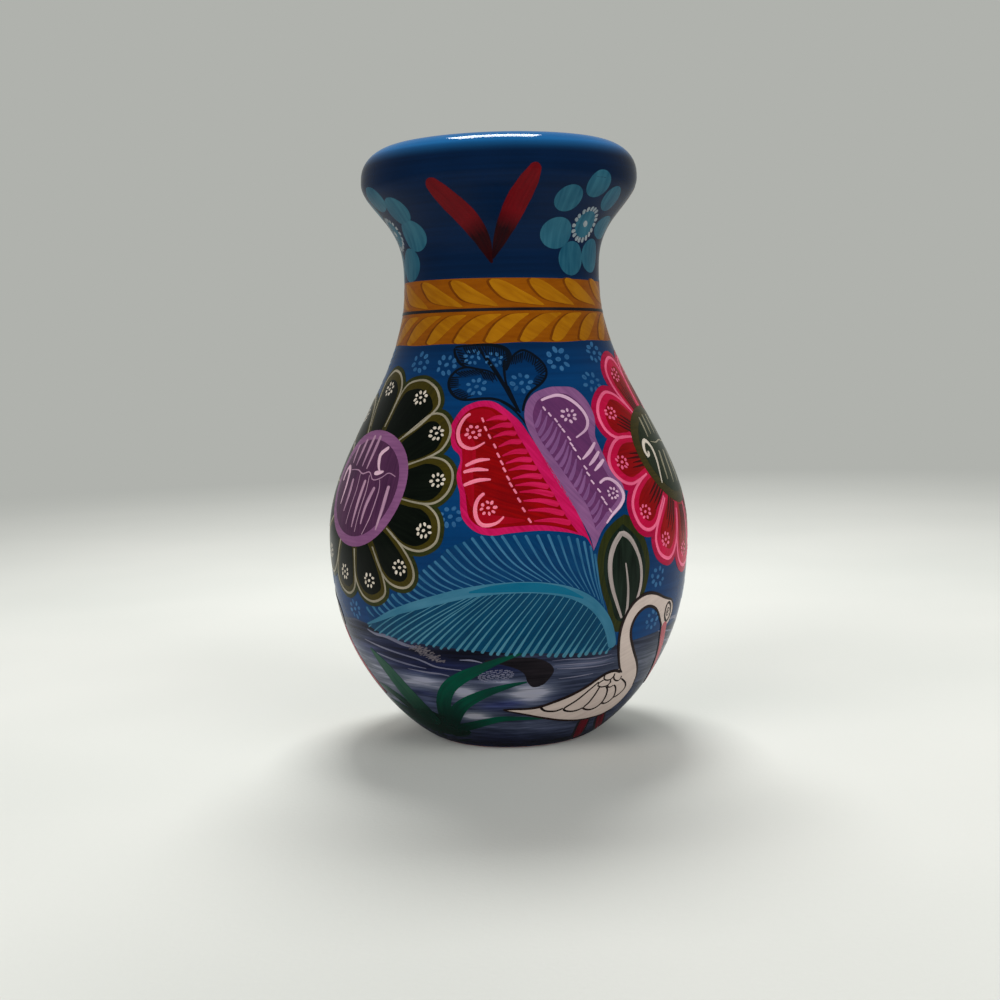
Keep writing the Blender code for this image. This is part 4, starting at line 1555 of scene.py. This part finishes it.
TICKS = (
    # start, end, count, ends' shift from each start
    ((-22.5, 93.9), (-12, 94.5), 8, (3.4, -1.0)),
    ((-24.6, 92.6), (-24.2, 90.3), 5, (4.2, 0.1)),
    ((-23, 89.2), (-17, 87.7), 5, (3.2, 0.6)),
    ((-11, 94.3), (-5, 93.3), 5, (2.2, -2.0)),
    ((-24, 99.3), (-20, 96), 5, (3.6, -0.4)),
    ((-20, 99.8), (-10.5, 99.9), 8, (2.4, -1.9)),
    ((-8.6, 99.8), (1, 99.2), 9, (0.3, -2.3)),
    ((2.2, 98.2), (1.6, 95), 5, (-2.2, -0.6)),
    ((4.4, 97.3), (9.4, 98.3), 5, (-1.0, -2.2)),
    ((10.8, 98.3), (15.6, 96.9), 5, (-1.4, -1.9)),
    ((17, 96.2), (19.3, 93.8), 5, (-3.2, -1.0)),
    ((18.6, 92.4), (14.6, 90.4), 4, (-2.6, 0.4)),
)
SPRAY_DOTS = (((-12, 90.4), 2.3), ((-15.2, 97.4), 2.0), ((-4.6, 96.6), 2.0), ((7.4, 91), 2.5))
STEM_WIDTH = 0.95           # the drawn lines against the widths listed above
TICK_SHADE = 2.2
spray_lines = Film(2, over=1)
spray_shades = Film(1)
pale_dots = Film(2, over=1)
for group in GROUPS:
    for places, widths in STEMS:
        spray_lines.stroke(in_group(places, group), [STEM_WIDTH * width for width in widths])
    for start, end, count, (right, up) in TICKS:
        ends = [(turn + right / 2, height + up / 2) for turn, height in (start, end)]
        spray_shades.stroke(in_group(ends, group), TICK_SHADE)
        for i in range(count + 1):
            share = i / count
            turn = between(start[0], end[0], share)
            height = between(start[1], end[1], share)
            long = 0.8 + 0.45 * hand.random()
            aside = right * long
            rise = up * long
            bend = (turn + 0.5 * aside, height + 0.55 * rise)
            tip = (turn + aside, height + rise)
            spray_lines.stroke(in_group([(turn, height), bend, tip], group), (0.4, 0.3, 0.18))
    dot_rings(pale_dots, group, SPRAY_DOTS)
spray_shades.dry("spray_shades", paint("night_blue", thick=(0, 25, 55), thin=(0, 36, 72)))
spray_lines.dry("spray_lines", paint("blue_black", thick=(2, 7, 14), thin=(6, 14, 26)))

# Pointed leaves
# Beside each frond stands one almond leaf: an olive halo, a near-black field, and a white
# line inside the edge with a vein up the middle.
ALMOND = (
    (37, 59.5), (37, 59.5), (32.8, 58), (29, 55.5), (26.8, 51.5), (26.4, 47), (27.6, 42.5), (30, 38),
    (33, 32), (38, 31.5), (41.5, 35), (44.8, 39.5), (46.6, 44), (46.8, 48), (45, 52.6), (42, 56.5),
    (39.4, 58.8),
)
ALMOND_FIELD = (
    (36, 57.3), (36, 57.3), (32, 55), (29.6, 52), (28.6, 48), (29.4, 43.5), (31.6, 39), (34, 34.6),
    (38, 34), (41.6, 37.5), (44, 41.5), (44.9, 46), (43.6, 50.5), (40.8, 54),
)
ALMOND_LINES = (
    (((36.2, 34.6), (34, 38), (31.9, 42), (30.8, 46), (31, 49.8), (32.6, 53), (35.2, 55.3), (35.2, 55.3),
      (38, 54), (40.6, 51.2), (42.6, 47.6), (43.2, 44), (42.8, 41), (41.6, 38)),
     (0.6, 0.9, 1.2, 1.4, 1.3, 0.9, 0.9, 0.8)),
    (((36.5, 48), (37.2, 45), (37.8, 41.5), (38, 37), (37.6, 34.6)), (0.35, 0.6, 0.75, 0.7)),
)
almond_halos = Film(1)
almond_fields = Film(3, over=1)
almond_lines = Film(4, over=3)
for group in GROUPS:
    almond_halos.shape(in_group(ALMOND, group), 80)
    almond_fields.shape(in_group(ALMOND_FIELD, group), 90)
    for places, widths in ALMOND_LINES:
        almond_lines.stroke(in_group(places, group), widths)
almond_halos.dry("pointed_leaf_halos", olive)
leaf_black = paint("leaf_black", thick=(2, 9, 4), thin=(22, 34, 26), streaks=1.0)
almond_fields.dry("pointed_leaf_fields", leaf_black)
almond_lines.dry("pointed_leaf_lines", paint("greyed_white", thick=(156, 144, 140), thin=(128, 120, 116)))

# Ground dots
# Rings of dots fill the plain ground between the motifs, and the lobes of the sprays. Each dot
# is one touch of a small round brush that holds thinned blue.
GROUND_DOTS = (
    ((-44, 96.3), 2.7), ((-27.8, 95.7), 2.6), ((26.6, 96.3), 3.0), ((41.8, 90.6), 2.7),
    ((50.6, 97.6), 2.6), ((-17.2, 60.8), 2.5), ((51.5, 43.2), 2.6), ((51.2, 32.4), 2.6),
    ((-58, 36.6), 2.5),
)
for group in GROUPS:
    dot_rings(pale_dots, group, GROUND_DOTS)
pale_dots.dry("ground_dots", paint("dot_blue", thick=(52, 100, 140), thin=(26, 68, 108)))

# Wading birds
# Three white herons stand in the water round the foot, each one filled in warm white, then
# outlined and feathered in brown-black, with a pink beak and crimson legs.
BIRD = (
    (-3.5, 12.7), (-3.5, 12.7), (1, 12), (5, 11.4), (10, 10.5), (15, 9.7), (22, 8.7), (30, 8), (38, 7.9),
    (45, 8.3), (50, 9.2), (53.4, 10.8), (55, 13), (54.9, 15.2), (53.6, 17.6), (51.4, 20), (48.6, 22.4),
    (45.8, 24.6), (43.4, 27), (41.6, 29.4), (41, 31.6), (41.8, 33.8), (43.8, 35.4), (46.6, 36.3),
    (49.6, 36.1), (52.6, 35), (55, 33.2), (57, 31.4), (58.8, 29.9), (61.8, 29.9), (64.3, 30.6),
    (65.3, 32.6), (64.6, 34.6), (62.6, 36.1), (59.4, 36.9), (56, 37.7), (52, 38.9), (48, 39.6),
    (44.4, 39.4), (41, 38.2), (38.4, 36), (36.8, 33), (36.5, 30), (37.2, 27), (38.6, 24), (40.6, 21.4),
    (38.6, 20.9), (35, 20.7), (31.6, 19.4), (28, 17.8), (24, 16.4), (20, 15.3), (15, 14.2), (10, 13.3),
    (5, 12.9),
)
BIRD_LINES = (
    (((-4, 12.8), (0, 12.9), (5, 12.9), (10, 13.2), (15, 14.2), (20, 15.3), (24, 16.4), (28, 17.8),
      (31.6, 19.4), (35, 20.6), (38.6, 20.9), (42, 20.2)), (0.3, 0.5, 0.6, 0.5, 0.6)),
    (((42.6, 20), (40.8, 21.2), (38.6, 24), (37.2, 27), (36.5, 30), (36.8, 33), (38.4, 36), (41, 38.2),
      (44.4, 39.4), (48, 39.6), (52, 38.9), (56, 37.7), (59.4, 36.9), (62.6, 36.2), (64.8, 34.6),
      (65.4, 32.6), (64.4, 30.6)), (0.3, 0.55, 0.6, 0.6, 0.4, 0.35)),
    (((58.8, 30), (57, 31.4), (55, 33.2), (52.6, 35), (49.6, 36.1), (46.6, 36.3), (43.8, 35.4),
      (41.8, 33.8), (41, 31.6), (41.6, 29.4), (43.4, 27), (45.8, 24.6), (48.6, 22.4), (51.4, 20),
      (53.6, 17.6), (54.9, 15)), (0.35, 0.5, 0.6, 0.6, 0.5, 0.3)),
    (((-3.6, 12.6), (0, 12.1), (5, 11.3), (10, 10.4), (15, 9.6), (22, 8.6), (30, 7.9), (38, 7.8),
      (45, 8.1), (50, 9)), (0.3, 0.5, 0.5, 0.35)),
)
FEATHERS = (
    (((10.8, 13.2), (12.2, 12.2), (14.6, 11.8), (17.6, 11.7), (20.4, 12.3)), (0.5, 0.45, 0.4)),
    (((32.6, 18.6), (29, 16.4), (25.4, 14.2), (20.6, 12.1), (22.6, 11.3), (25.6, 11), (28.6, 11.3),
      (29.8, 11.7)), (0.3, 0.4, 0.45, 0.4)),
    (((33.8, 17), (33, 15), (31.6, 12.8), (29.9, 11.6), (32, 10.9), (34.6, 10.6), (37.4, 11),
      (39.2, 12.2), (39.4, 14), (38.4, 16), (37, 16.8)), (0.35, 0.4, 0.45, 0.4, 0.35)),
    (((39.3, 12), (41.4, 11.6), (43.6, 12), (44.9, 13), (44, 14.8), (42.4, 16.2), (41, 16.8)),
     (0.4, 0.4, 0.3)),
    (((44.8, 12.9), (46.6, 13.1), (48.6, 13.9), (49.5, 15), (48.4, 16.2), (46.4, 17.2), (43.8, 18.2)),
     (0.4, 0.4, 0.3)),
    (((34.4, 20.2), (34.4, 19.2), (36.4, 18.6), (38.4, 18.8), (39.2, 19.8)), (0.32, 0.32)),
    (((39, 20.2), (39, 19.2), (40.4, 18.2), (42.6, 17.8), (43.6, 18.6), (43, 19)), (0.32, 0.32)),
    (((34.6, 18.9), (33, 18.4), (32.6, 17.6), (34.4, 17), (37, 17), (38.4, 17.6), (38, 18.5)),
     (0.3, 0.3)),
    (((38.8, 18), (37.6, 17.2), (38, 16.6), (39.6, 16.4), (40.8, 16.8)), (0.3, 0.3)),
)
EYE = (
    (59.4, 35.6), (58.8, 34), (59.4, 32.2), (61.4, 30.9), (63.2, 31.6), (63.4, 33.4), (62.4, 34.9),
    (60.8, 35.8), (59.4, 35.6),
)
PUPIL = (61.1, 33.4)
BEAK = ((60.4, 30.9), (61.9, 27.8), (64.4, 24.5), (66.6, 21.6), (68.8, 18.7), (71, 15.9), (73.4, 13.3))
BEAK_WIDTHS = (2.9, 2.8, 2.5, 2.2, 1.8, 1.3, 0.4)
BEAK_LINE = (
    (58.2, 30.6), (59.7, 27.4), (62.2, 24.1), (64.5, 21.2), (67, 18.2), (70, 15.2), (73.2, 13.1),
)
LEGS = (
    (((34.8, 8.2), (36, 6.2), (37.8, 4.2), (40.4, 2.3), (43, 1.1)), (2.4, 2.6, 2.6, 2.4, 2.0)),
    (((44.4, 8.4), (46.8, 6.7), (50.4, 5), (55, 3.5), (60, 2.2)), (2.0, 2.2, 2.2, 2.0, 1.6)),
)
BIRD_LINE = 1.4             # the outline against the widths listed above
LEG_EDGE = 1.3
birds = Film(5, over=4)
bird_lines = Film(6, over=5)
beaks = Film(6, over=5)
leg_edges = Film(3, over=1)
legs = Film(4, over=3)
for shift in HERON_TURNS:
    birds.shape(shifted(BIRD, shift), 20, 0.7)
    for places, widths in BIRD_LINES + FEATHERS:
        bird_lines.stroke(shifted(places, shift), [BIRD_LINE * width for width in widths])
    bird_lines.stroke(shifted(EYE, shift), 0.75)
    bird_lines.stroke(shifted(oval(PUPIL, 0.8, 1.1, 0, 12), shift), 0.35)
    bird_lines.dot(shifted([PUPIL], shift)[0], 0.35, 0.45)
    beaks.stroke(shifted(BEAK, shift), BEAK_WIDTHS)
    bird_lines.stroke(shifted(BEAK_LINE, shift), (0.5, 0.4, 0.4, 0.3, 0.2))
    for places, widths in LEGS:
        leg_edges.stroke(shifted(places, shift), [width + LEG_EDGE for width in widths])
        legs.stroke(shifted(places, shift), widths)
birds.dry("birds", paint("warm_white", thick=(186, 171, 162), thin=(170, 155, 147)))
bird_lines.dry("bird_lines", paint("brown_black", thick=(16, 10, 10), thin=(36, 24, 22)))
beaks.dry("bird_beaks", paint("beak_pink", thick=(172, 92, 98), thin=(150, 74, 82)))
leg_edges.dry("bird_leg_edges", soot)
legs.dry("bird_legs", paint("leg_crimson", thick=(88, 6, 22), thin=(52, 2, 12)))

# Rope bands
# Two gold bands round the neck: a brown-amber coat, twisted strokes of gold over it that
# slant left above and right below, and a black line brushed between them on the wheel.
BAND_TOP = 115.7
BAND_PARTING = 108.3
BAND_FOOT = 100.7
BAND_LINE = 0.36            # half width of the line between the bands
BAND_ROWS = 16
LINE_ROWS = 2
UPPER_STROKES = 16
LOWER_STROKES = 21
UPPER_STROKE = (
    (0, 115.3), (1.2, 114), (3.6, 112.7), (7, 111.3), (11, 110.5), (16, 110), (22, 109.6), (29, 109.3),
    (26, 110.5), (23.4, 111.3), (20, 112.2), (16, 113.2), (12, 114.3), (8, 115.2), (4.5, 115.7),
    (1.2, 115.8),
)
LOWER_STROKE = (
    (0, 101.1), (1, 102.2), (2.5, 103.5), (5, 104.9), (8, 106), (12, 107), (16, 107.4), (24, 107.4),
    (21.5, 106.6), (18, 105.5), (14.4, 104.2), (11, 102.9), (7.8, 101.6), (5, 100.8), (2, 100.6),
)


def parting(turn):
    """Height of the line between the bands."""
    return BAND_PARTING + 0.35 * math.cos(math.radians(turn + 50))


def band_top(turn):
    """Upper edge of the upper band."""
    return BAND_TOP + 0.55 * math.cos(math.radians(turn + 60))


def band_foot(turn):
    """Lower edge of the lower band."""
    return BAND_FOOT - 0.2 * math.cos(math.radians(turn)) + 0.12 * math.sin(math.radians(9 * turn))


def rope_strokes(shape, count, start, away):
    """Strokes of one band, each over a darker one that shows along its edge."""
    for k in range(count):
        turn = start + 360 * k / count + 1.2 * hand.random()
        stretch = between(0.94, 1.06, hand.random())
        places = [(turn + right * stretch, height) for right, height in shape]
        rope_shades.shape(shifted(places, away), -30, 0.9)
        ropes.shape(places, -30, 0.9)


amber = paint("amber_brown", thick=(110, 55, 0), thin=(126, 68, 2), streaks=1.2)
brown = paint("rope_brown", thick=(86, 40, 0), thin=(102, 52, 2), streaks=1.2)
gold = paint("gold_ochre", thick=(146, 94, 6), thin=(130, 78, 3), streaks=0.9, contrast=0.12)
bands = Film(1)
bands.belt(band_foot, band_top, BAND_ROWS)
bands.dry("rope_bands", amber)
rope_shades = Film(2, over=1)
ropes = Film(3, over=2)
rope_strokes(UPPER_STROKE, UPPER_STROKES, start=-7.5, away=-1.7)
rope_strokes(LOWER_STROKE, LOWER_STROKES, start=8, away=-1.5)
rope_shades.dry("rope_shades", brown)
ropes.dry("rope_strokes", gold)
band_line = Film(4, over=3)
band_line.belt(
    lambda turn: parting(turn) - BAND_LINE,
    lambda turn: parting(turn) + BAND_LINE,
    LINE_ROWS,
)
band_line.dry("band_line", soot)

# Neck flowers
# Three flowers of thinned blue petals stand round the flared mouth, each with a ring of
# white ticks round its middle, and a crimson mark of two strokes stands between them.
MARK_TURNS = (0, 118, 236)
# Each petal: turn and height of its middle, half widths to the right and up, lean
OPEN_PETALS = (
    (31.3, 134, 3.9, 3.7, 10), (30.3, 126.4, 4.5, 3.9, 0), (42.4, 120.5, 4.1, 4.1, 20),
    (61, 121.4, 4.3, 4.1, -20), (70, 128.4, 5.2, 3.1, 0), (59, 134.6, 3.9, 3.5, -20),
    (44.8, 137.4, 4.0, 3.7, 10),
)
FULL_PETALS = (
    (-67.5, 136.3, 5.0, 3.7, 0), (-54.2, 133, 4.4, 4.0, 0), (-52, 127.2, 4.8, 4.1, 0),
    (-62.6, 120.3, 4.8, 4.1, 10), (-83, 120.6, 4.4, 3.9, -10), (-94, 127, 4.5, 3.8, 0),
    (-86, 134.6, 4.6, 3.7, -10),
)
NECK_FLOWERS = (
    # shift, middle, petals
    (0.8, (48.8, 128.6), OPEN_PETALS),
    (118, (48.8, 128.6), OPEN_PETALS),
    (-1.2, (-74.5, 128.3), FULL_PETALS),
)
MARKS = (
    (((-29.2, 139), (-25.8, 136.4), (-21.8, 133.6), (-17.4, 130.9), (-13, 127.8), (-9, 124.4),
      (-5, 119.5)), (3.0, 5.2, 6.0, 5.8, 4.8, 3.2, 0.5)),
    (((15.2, 141.8), (13.4, 139.4), (10.8, 136.4), (8, 133.4), (5, 130), (1, 126.2), (-4.6, 120.5)),
     (2.2, 4.8, 5.8, 5.6, 4.7, 3.0, 0.5)),
)
FLOWER_TICKS = 19
neck_petals = Film(1)
neck_ticks = Film(2, over=1)
marks = Film(2, over=1)
for shift, middle, petals in NECK_FLOWERS:
    for turn, height, right, up, lean in petals:
        neck_petals.fill([oval((turn + shift, height), right, up, lean, 36)], lean=90)
    centre = (middle[0] + shift, middle[1])
    neck_petals.fill([oval(centre, 3.5, 3.5, 0, 30)], lean=90)
    for i in range(FLOWER_TICKS):
        angle = math.tau * i / FLOWER_TICKS + 0.08 * hand.random()
        inner = moved(centre, 3.3 * math.cos(angle), 3.4 * math.sin(angle))
        outer = moved(centre, 4.5 * math.cos(angle - 0.12), 4.7 * math.sin(angle - 0.12))
        neck_ticks.stroke([inner, outer], (0.7, 1.1))
    neck_ticks.stroke([moved(centre, -0.7, 0.6), moved(centre, 0.7, -0.6)], 1.3)
for shift in MARK_TURNS:
    for places, widths in MARKS:
        marks.stroke(shifted(places, shift), widths)
neck_petals.dry("neck_petals", paint("petal_blue", thick=(40, 88, 104), thin=(18, 66, 86), streaks=0.9))
neck_ticks.dry("neck_ticks", paint("tick_white", thick=(138, 142, 144), thin=(98, 114, 122)))
# painted shade: the lower ends of the marks darken where the flare turns down into shadow
painted_shade_end = (15, 20, (18, 1, 6), (34, 1, 3))
marks.dry("neck_marks", paint("mark_crimson", thick=(94, 8, 15), thin=(78, 6, 13), later=painted_shade_end))

# Studio
# A round sheet of pale paper that fades into the backdrop, a softbox over the vase, soft fills
# round it, and the camera where the photograph was taken from.
CAMERA_LENS = 54
CAMERA_PLACE = (0, -0.38745, 0.0971)
CAMERA_DOWN = 5.446
CAMERA_ASIDE = 0.29
CAMERA_ROLL = -1.6
PAPER_RADIUS = 0.9
PAPER_SIDES = 96
FADE = (0.26, 0.86)         # distances from the vase between which the paper fades
BACKDROP = (176, 178, 173)
WORLD_LIGHT = 0.06
RAYS = ("Is Camera Ray", "Is Glossy Ray", "Is Transmission Ray")


def looked_at(finish):
    """1 for the rays that see the backdrop, straight or in the gloss, and 0 for those that light."""
    rays = [finish.node("ShaderNodeLightPath", output=ray) for ray in RAYS]
    seen = rays[0]
    for ray in rays[1:]:
        seen = seen.maths("MAXIMUM", seen, ray)
    return seen


def paper_finish():
    """Matt pale paper with a faint tooth. Far from the vase it is seen in the backdrop's colour."""
    finish = Finish("studio_paper")
    place = finish.node("ShaderNodeTexCoord", output="Object")
    tooth = finish.noise(place, 900, detail=2)
    mottle = finish.noise(place, 6, detail=2)
    colour = finish.mixed(mottle.within(0.3, 0.7), tint(206, 208, 202), tint(214, 215, 209))
    sheet = finish.node("ShaderNodeBsdfPrincipled", None, {
        "Base Color": colour,
        "Roughness": 0.9,
        "Specular IOR Level": 0.2,
        "Normal": finish.bump(tooth, 0.0002, strength=0.3),
    })
    away = finish.node("ShaderNodeVectorMath", {"operation": "LENGTH"}, {0: place}, output=1)
    far = away.within(*FADE)
    seen = looked_at(finish)
    backdrop = finish.node("ShaderNodeEmission", None, {"Color": tint(*BACKDROP), "Strength": 1})
    return finish.finished(finish.node("ShaderNodeMixShader", None, {0: far * seen, 1: sheet, 2: backdrop}))


def studio_world():
    """Dim even light from all round, seen in the backdrop's colour."""
    finish = Finish("studio", "worlds")
    dim = finish.node("ShaderNodeBackground", None, {"Color": (1, 1, 1, 1), "Strength": WORLD_LIGHT})
    pale = finish.node("ShaderNodeBackground", None, {"Color": tint(*BACKDROP), "Strength": 1})
    shader = finish.node("ShaderNodeMixShader", None, {0: looked_at(finish), 1: dim, 2: pale})
    return finish.finished(shader, "ShaderNodeOutputWorld")


outline = []
for side in range(PAPER_SIDES):
    angle = math.tau * side / PAPER_SIDES
    outline.append((PAPER_RADIUS * math.sin(angle), PAPER_RADIUS * math.cos(angle), 0))
paper = bpy.data.meshes.new("studio_paper")
paper.from_pydata(outline, [], [range(PAPER_SIDES)[::-1]])
paper.materials.append(paper_finish())
paper_object = bpy.data.objects.new("studio_paper", paper)
bpy.context.scene.collection.objects.link(paper_object)


def lamp(name, place, target, size, watts, mirrored):
    """Soft square lamp aimed at a point. One that isn't mirrored leaves no highlight in the gloss."""
    light = bpy.data.lights.new(name, "AREA")
    light.shape = "RECTANGLE"
    light.size, light.size_y = size
    light.energy = watts
    lamp_object = bpy.data.objects.new(name, light)
    lamp_object.location = place
    aim = Vector(target) - Vector(place)
    lamp_object.rotation_euler = aim.to_track_quat("-Z", "Y").to_euler()
    lamp_object.visible_glossy = mirrored
    bpy.context.scene.collection.objects.link(lamp_object)


lamp("top_softbox", (-0.01, 0.30, 0.70), (0, 0, 0.10), (0.26, 0.17), 4.2, True)
lamp("left_fill", (-0.62, -0.72, 0.42), (0, 0, 0.07), (0.7, 0.7), 6.6, False)
lamp("right_fill", (0.66, -0.66, 0.36), (0, 0, 0.07), (0.7, 0.7), 6.6, False)
lamp("back_fill", (0.05, 0.92, 0.62), (0, 0, 0.07), (0.6, 0.6), 5.0, False)

bpy.context.scene.world = studio_world()

camera = bpy.data.cameras.new("camera")
camera.lens = CAMERA_LENS
camera_object = bpy.data.objects.new("camera", camera)
camera_object.location = CAMERA_PLACE
bpy.context.scene.collection.objects.link(camera_object)
bpy.context.scene.camera = camera_object
bpy.context.scene.view_settings.view_transform = "Standard"

facing = (
    Matrix.Rotation(math.radians(CAMERA_ASIDE), 3, "Z")
    @ Matrix.Rotation(math.radians(90 - CAMERA_DOWN), 3, "X")
    @ Matrix.Rotation(math.radians(CAMERA_ROLL), 3, "Z")
)
camera_object.rotation_euler = facing.to_euler()
